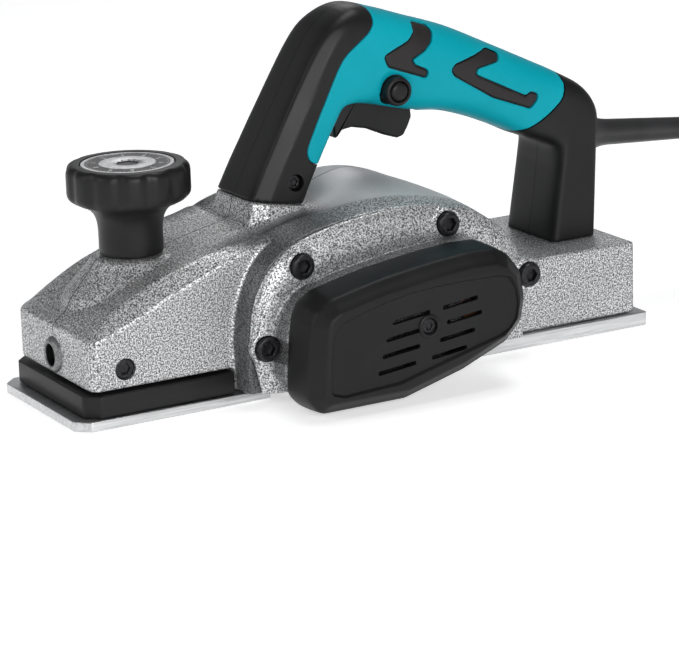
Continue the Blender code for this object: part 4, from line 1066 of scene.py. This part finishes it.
teal = make("teal_all", handle_form(0.0))
boole(teal, make("t_zone", add_prism(bmesh.new(), TEAL_ZONE, 'y', -30, 30)),
      'INTERSECT')
boole(teal, make("t_core", handle_form(2.4)))
bm = bmesh.new()
add_prism(bm, TRIGGER_ROOM, 'y', -7.8, 7.8)
boole(teal, make("t_trigger_room", bm))
bm = bmesh.new()
for lo, hi in ((-30, -8.0), (8.0, 30)):
    for c in CHEVRONS:
        add_prism(bm, grow(c, 0.55), 'y', lo, hi)
boole(teal, make("t_chevrons", bm))
bm = bmesh.new()
add_turned(bm, [(0, 30), (10.5, 30), (10.5, 17.9), (9.0, 17.0), (7.0, 16.2),
                (6.9, 5), (0, 5)], (LOCK[0], 0, LOCK[1]), (0, -1, 0), 48)
boole(teal, make("t_lock", bm))
cast(teal, 0.5, 4)
for side, name in ((-1, "left"), (1, "right")):
    half = bpy.data.objects.new("grip_shell_" + name, teal.data.copy())
    scene.collection.objects.link(half)
    bm = bmesh.new()
    lo, hi = (-0.08, 130) if side < 0 else (-130, 0.08)
    add_box(bm, (-200, lo, -20), (220, hi, 220))
    boole(half, make("t_half", bm))
    clean(half)
    dress(half, TEAL, BODY, "teal_grip", "grip_" + name, angle=45)
    for i, c in enumerate(CHEVRONS):
        label = "%s_%s" % (name, ("front", "rear")[i])
        ins = make("inlay_" + label, handle_form(0.5))
        lo, hi = (-30, -8.5) if side < 0 else (8.5, 30)
        boole(ins, make("t_zone", add_prism(bmesh.new(), c, 'y', lo, hi)),
              'INTERSECT')
        boole(ins, make("t_core", handle_form(2.3)))
        cast(ins, 0.38, 4)
        clean(ins)
        dress(ins, INSERT, BODY, "grip_insert", "grip_insert_" + label,
              angle=45)
bpy.data.objects.remove(teal, do_unlink=True)

socket_screw("shell_screw", (-26.4, -15.3, 88.9), (0, -1, 0), 3.3, 2.2,
             node="handle_screw", under=3.0)

bm = bmesh.new()        # collar round the lock button
add_turned(bm, [(5.0, 20.6), (5.9, 20.6), (6.4, 20.2), (6.6, 19.3), (6.6, 12.6),
                (4.7, 12.6), (4.7, 20.2)], (LOCK[0], 0, LOCK[1]), (0, -1, 0),
           64, closed=True)
dress(make("lock_collar", bm), BLACK, BODY, "black_plastic")
bm = bmesh.new()
add_turned(bm, [(0, 21.35), (2.6, 21.3), (3.6, 21.05), (4.1, 20.6),
                (4.35, 19.9), (4.4, 19.0), (4.4, 11.2), (0, 11.2)],
           (LOCK[0], 0, LOCK[1]), (0, -1, 0), 64)
dress(make("lock_stud", bm), BLACK, "lock_button", "black_plastic",
      "lock_button")

# trigger: same outline as its solid, with full soft edges
TRIGGER = [(1.2, 102.0), (5.0, 106.4), (10.0, 107.0), (18.2, 105.2),
           (26.9, 101.2), (33.6, 98.9), (36.8, 99.8), (39.3, 103.8),
           (41.2, 108.0), (40.6, 114.0), (30.0, 119.0), (16.0, 123.0),
           (12.5, 129.0), (8.0, 130.4), (4.0, 128.4), (2.6, 119.0),
           (0.6, 109.0)]
bm = bmesh.new()
trig = rounded(TRIGGER, 2.2, 4)
rows = []
for y, d in ((-7.4, -1.3), (-7.25, -0.7), (-6.9, -0.3), (-6.3, -0.05),
             (-5.2, 0.0), (5.2, 0.0), (6.3, -0.05), (6.9, -0.3), (7.25, -0.7),
             (7.4, -1.3)):
    rows.append(at_y(grow(trig, d), y))
add_loft(bm, rows)
trigger = make("trigger_blade", bm)
dress(trigger, BLACK, "trigger", "black_plastic", "trigger", angle=35)

# ==========================================================================
# Depth knob and its dial
# ==========================================================================
KNOB_PROFILE = [(0, 103.6), (20.6, 103.6), (20.85, 103.8), (20.95, 104.7),
                (21.2, 105.0), (24.0, 105.0), (25.3, 104.7), (26.3, 104.0),
                (26.95, 103.0), (27.2, 101.9), (27.3, 100.6), (27.3, 96.0),
                (27.3, 92.8), (27.1, 91.4), (26.5, 90.2), (25.3, 89.2),
                (23.0, 88.0), (20.4, 86.9), (18.0, 85.4), (16.2, 83.4),
                (15.0, 81.0), (14.4, 78.0), (14.2, 75.0), (14.2, 70.0),
                (14.2, 66.4), (14.0, 65.4), (13.3, 64.9), (4.4, 64.9),
                (4.4, 68), (0, 68)]
FLUTES = 13
bm = bmesh.new()
n = FLUTES * 16
rows = []
for r, h in KNOB_PROFILE:
    if r < 1e-6:
        rows.append([bm.verts.new(Vector((KNOB_X, 0, h)) * MM)])
        continue
    w = 0.0
    if r > 24.5 and h > 88:
        w = min(1.0, (r - 24.5) / 2.2) * min(1.0, (h - 88) / 4.0)
    row = []
    for i in range(n):
        t = 2 * math.pi * i / n
        f = (0.5 - 0.5 * math.cos(FLUTES * t)) ** 2.2
        rr = r - 1.15 * w * f
        row.append(bm.verts.new(Vector((KNOB_X + rr * math.cos(t),
                                        rr * math.sin(t), h)) * MM))
    rows.append(row)
for a, b in zip(rows[:-1], rows[1:]):
    for i in range(n):
        j = (i + 1) % n
        if len(a) == 1:
            bm.faces.new((a[0], b[i], b[j]))
        elif len(b) == 1:
            bm.faces.new((a[i], b[0], a[j]))
        else:
            bm.faces.new((a[i], b[i], b[j], a[j]))
bmesh.ops.recalc_face_normals(bm, faces=bm.faces)
knob = make("knob_grip", bm)
dress(knob, BLACK, "depth_knob", "black_plastic", "depth_knob", angle=40)

bm = bmesh.new()
rows = [(20.4, 103.7), (20.5, 104.6), (20.3, 104.8), (18.9, 104.8),
        (18.75, 104.62), (12.55, 104.62), (12.4, 104.8), (9.0, 104.95),
        (6.6, 104.95), (6.1, 104.8)]
ring_rows = [[(KNOB_X + r * math.cos(2 * math.pi * i / 96),
               r * math.sin(2 * math.pi * i / 96), h) for i in range(96)]
             for r, h in rows]
hexr = []
for i in range(96):
    t = 2 * math.pi * i / 96
    rr = 4.7 / math.cos((t % (math.pi / 3)) - math.pi / 6)
    hexr.append((rr * math.cos(t), rr * math.sin(t)))
for h, s in ((104.4, 1.0), (103.9, 0.98)):
    ring_rows.append([(KNOB_X + x * s, y * s, h) for x, y in hexr])
add_loft(bm, ring_rows)
dial = make("dial_face", bm)
dial.data.materials.append(DIAL_PLATE)
dress(dial, DIAL_PLATE, "depth_knob", "dial_plate", "knob_dial", angle=30)
dial.data.materials.append(DIAL_BLACK)
for p in dial.data.polygons:
    c = p.center / MM
    r = math.hypot(c.x - KNOB_X, c.y)
    if (12.5 < r < 18.8 and c.z < 104.7) or r < 5.4:
        p.material_index = 1

bm = bmesh.new()
for i in range(60):
    t = 2 * math.pi * i / 60
    long = i % 6 == 0
    r0, r1, half = (16.9 if long else 17.5), 18.3, (0.16 if long else 0.1)
    c, s = math.cos(t), math.sin(t)
    ring_lo = [(KNOB_X + r * c - q * s, r * s + q * c, 104.63)
               for r, q in ((r0, -half), (r1, -half), (r1, half), (r0, half))]
    ring_hi = [(x, y, 104.68) for x, y, _ in ring_lo]
    add_loft(bm, [ring_lo, ring_hi])
for i in range(10):
    t = -2 * math.pi * i / 10 + math.pi
    tc = bpy.data.curves.new("numeral", 'FONT')
    tc.body = str(i)
    tc.size = 3.6 * MM
    tc.align_x = 'CENTER'
    tc.align_y = 'CENTER'
    tc.extrude = 0.03 * MM
    tc.resolution_u = 4
    tmp = bpy.data.objects.new("numeral", tc)
    scene.collection.objects.link(tmp)
    mesh = bpy.data.meshes.new_from_object(
        tmp.evaluated_get(bpy.context.evaluated_depsgraph_get()))
    mesh.transform(Matrix.Translation((KNOB_X * MM + 14.9 * MM * math.cos(t),
                                       14.9 * MM * math.sin(t), 104.65 * MM))
                   @ Matrix.Rotation(t - math.pi / 2, 4, 'Z'))
    bm.from_mesh(mesh)
    bpy.data.objects.remove(tmp, do_unlink=True)
    bpy.data.meshes.remove(mesh)
marks = make("dial_scale", bm)
dress(marks, DIAL_MARK, "depth_knob", "dial_plate", angle=30)

# ==========================================================================
# Soles and skirt
# ==========================================================================


def slab(name, outline, lo, hi, edge, mat, body, slot, node, segments=3,
         holes=()):
    bm = bmesh.new()
    add_prism(bm, outline, 'z', lo, hi)
    ob = make(name, bm)
    for i, (c, r) in enumerate(holes):
        boole(ob, make("t_hole", add_rod(bmesh.new(), (*c, 0), (0, 0, 1), r,
                                         lo - 2, hi + 2, 40)))
    bevel(ob, edge, segments, 40)
    return dress(ob, mat, body, slot, node, angle=32)


def nose(x0, x1, half, corner, r=1.6):
    pts = [(x0, -half + corner), (x0 + corner, -half), (x1, -half),
           (x1, half), (x0 + corner, half), (x0, half - corner)]
    return rounded(pts, r, 5, keep=(2, 3))


slab("shoe_plate", nose(-147.0, -54.5, 41.0, 6.0, 2.2), 0.0, 4.4, 0.45,
     ALU_CROSS, "front_shoe", "machined", "front_shoe")
slab("skirt_block", nose(-141.5, -71.0, 39.5, 6.0, 3.0), 4.7, 14.5, 0.7, BLACK,
     "front_shoe", "black_plastic", "shoe_skirt", holes=[((KNOB_X, 0), 4.7)])
slab("sole_plate", rounded([(-16.6, -41), (147, -41), (147, 41), (-16.6, 41)],
                           1.2, 4), 0.0, 6.6, 0.5, ALU_LONG, BODY, "machined",
     "rear_sole")

# ==========================================================================
# Cover side: drum housing, cap, motor end cover, chip duct
# ==========================================================================
HOUSING = [(-65, 10), (-66, 20), (-64, 30), (-58, 38), (-49, 42), (-31, 42.6),
           (-23, 40), (-18.4, 33), (-17.2, 20), (-18.4, 9), (-23, 4.8),
           (-56, 4.8)]
bm = bmesh.new()
hs = rounded(HOUSING, 4, 4)
add_loft(bm, [at_y(grow(hs, d), y) for y, d in
              ((46.3, 0), (54, -0.1), (56, -0.5), (57.0, -1.2), (57.5, -2.4))])
housing = make("bearing_housing", bm)
cast(housing, 0.6, 3)
dress(housing, HAMMER, BODY, "cast", "drum_housing", angle=45)

bm = bmesh.new()
EARS = rounded([(DRUM[0] + sx * dx, DRUM[1] + sz * dz)
                for sx, sz, pts in ((1, 1, ((21.5, 3.2), (9, 9.0))),
                                    (-1, 1, ((9, 9.0), (21.5, 3.2))),
                                    (-1, -1, ((21.5, 3.2), (9, 9.0))),
                                    (1, -1, ((9, 9.0), (21.5, 3.2))))
                for dx, dz in pts], 3.0, 5)
add_loft(bm, [at_y(EARS, 58.0), at_y(EARS, 59.9), at_y(grow(EARS, -0.3), 60.2)])
add_turned(bm, [(0, 62.4), (7.0, 62.4), (7.4, 61.9), (8.6, 61.9), (9.0, 62.5),
                (10.2, 62.4), (11.4, 61.8), (12.2, 60.9), (12.7, 59.0),
                (12.8, 57.85), (0, 57.85)], (DRUM[0], 0, DRUM[1]), (0, 1, 0),
           72)
cap = make("drum_cap", bm)
dress(cap, BLACK_SOFT, BODY, "black_plastic", "drum_end_cap", angle=35)

MOTOR_COVER = [(-14.5, 17), (-10, 6), (-1, 1.6), (51, 1.6), (60, 6), (64, 17),
               (60, 34), (53, 40.8), (-4, 40.8), (-11, 34)]


def motor_ring(d, y, r=2.5):
    return at_y(rounded(grow(MOTOR_COVER, d), r, 4), y)


bm = bmesh.new()
add_loft(bm, [motor_ring(d, y) for y, d in
              ((46.3, 1.55), (50, 1.5), (58, 1.2), (63, 0.6), (65.6, -0.1),
               (67.0, -1.2), (67.7, -2.4), (68.0, -3.6))])
mcover = make("motor_vent_cover", bm)
bm = bmesh.new()
for s in (-1, 1):
    for row, z in enumerate((9.0, 14.5, 27.5, 33.0)):
        xc = 25 + s * (25 if row in (1, 2) else 21)
        add_prism(bm, rounded([(xc - 8.5, z - 1.1), (xc + 8.5, z - 1.1),
                               (xc + 8.5, z + 1.1), (xc - 8.5, z + 1.1)], 1.0,
                              3), 'y', 62, 72)
boole(mcover, make("t_slots", bm))
bm = bmesh.new()
add_loft(bm, [motor_ring(-1.4, 44, 1.8), motor_ring(-1.6, 60, 1.8),
              motor_ring(-3.6, 65.4, 1.8)])
boole(mcover, make("t_hollow", bm))
clean(mcover)
dress(mcover, BLACK_SOFT, BODY, "black_plastic", "motor_end_cover", angle=35)
bm = bmesh.new()
for x in (10.0, 40.0):
    add_turned(bm, [(2.2, 68.2), (4.6, 68.2), (5.0, 67.8), (5.0, 46.6),
                    (2.2, 46.6)], (x, 0, 21), (0, 1, 0), 40, closed=True)
dress(make("vent_cover_bosses", bm), BLACK_SOFT, BODY, "black_plastic")

duct = rounded(CHUTE, 2.5, 4)
bm = bmesh.new()
outer = [at_y(grow(duct, d), y) for y, d in ((22, 0), (55.9, 0), (56.4, -0.4),
                                             (56.5, -0.8))]
inner = [at_y(grow(duct, d), y) for y, d in ((56.5, -1.4), (56.2, -2.0),
                                             (54, -2.2), (22, -2.2))]
grid = [[bm.verts.new(Vector(p) * MM) for p in row] for row in outer + inner]
m = len(grid[0])
for a, b in zip(grid, grid[1:] + grid[:1]):
    for i in range(m):
        j = (i + 1) % m
        bm.faces.new((a[i], a[j], b[j], b[i]))
bmesh.ops.recalc_face_normals(bm, faces=bm.faces)
dress(make("chip_duct", bm), BLACK, BODY, "black_plastic", "chip_chute",
      angle=35)

# ==========================================================================
# Carried-over solids
# ==========================================================================
FINISH = {
    STEEL: ("drum_bearing_belt_side", "drum_bearing_cover_side",
            "motor_bearing_belt_side", "motor_bearing_cover_side",
            "drum_pulley", "motor_pulley", "cutter_drum", "planer_blade_1",
            "planer_blade_2", "blade_clamp_1", "blade_clamp_2", "stator",
            "depth_spindle", "shoe_spring", "trigger_pin", "trigger_spring"),
    COPPER: ("armature",),
    CARBON: ("carbon_brush_1", "carbon_brush_2"),
    BELT_LOOK: ("drive_belt",),
    BLACK: ("switch_module", "cooling_fan"),
}
for mat, names in FINISH.items():
    for name in names:
        ob = NODES[name]
        ob.data.materials.clear()
        ob.data.materials.append(mat)
        for p in ob.data.polygons:
            p.material_index = 0

# ==========================================================================
# Floor and light
# ==========================================================================
bm = bmesh.new()
bmesh.ops.create_grid(bm, x_segments=2, y_segments=2, size=6.0)
floor = make("floor", bm)
floor.location.z = -0.0004
k = Look("pale_floor")
k.set(Roughness=0.8, Emission_Strength=0.5, Emission_Color=(1, 1, 1, 1))
soft = k.noise(1.5, 2.0, 0.5)
k.out(k.ramp(soft, (0.3, 0.86), (0.7, 0.88)))
floor.data.materials.append(k.mat)

world = bpy.data.worlds.new("studio")
scene.world = world
world.use_nodes = True
wt = world.node_tree
bg = wt.nodes["Background"]
tc = wt.nodes.new("ShaderNodeTexCoord")
sep = wt.nodes.new("ShaderNodeSeparateXYZ")
wt.links.new(tc.outputs["Generated"], sep.inputs[0])
wr = wt.nodes.new("ShaderNodeValToRGB")
wt.links.new(sep.outputs["Z"], wr.inputs["Fac"])
wr.color_ramp.elements[0].position = 0.0
wr.color_ramp.elements[0].color = (0.80, 0.81, 0.83, 1)
wr.color_ramp.elements[1].position = 0.55
wr.color_ramp.elements[1].color = (0.12, 0.122, 0.126, 1)
wt.links.new(wr.outputs["Color"], bg.inputs["Color"])
bg.inputs["Strength"].default_value = 0.72


def lamp(name, at, aim, size, power, size_y=None, colour=(1, 1, 1)):
    d = bpy.data.lights.new(name, 'AREA')
    d.shape = 'RECTANGLE'
    d.size = size
    d.size_y = size_y or size
    d.energy = power
    d.color = colour
    ob = bpy.data.objects.new(name, d)
    scene.collection.objects.link(ob)
    ob.location = at
    ob.rotation_mode = 'QUATERNION'
    ob.rotation_quaternion = (Vector(aim) - Vector(at)).to_track_quat('-Z', 'Y')
    return ob


lamp("key", (-0.25, -1.6, 0.62), (0, 0, 0.05), 0.9, 15, 0.6)
lamp("left", (-1.5, 0.1, 0.8), (0, 0, 0.05), 0.8, 6, 0.9)
lamp("top", (0.35, 0.1, 1.6), (0.05, 0, 0.05), 0.7, 9)
lamp("back", (0.7, 1.3, 1.1), (0.05, 0, 0.08), 0.6, 3)

scene.view_settings.view_transform = 'Standard'
scene.view_settings.look = 'None'
scene.view_settings.exposure = 0.0
scene.view_settings.gamma = 1.0
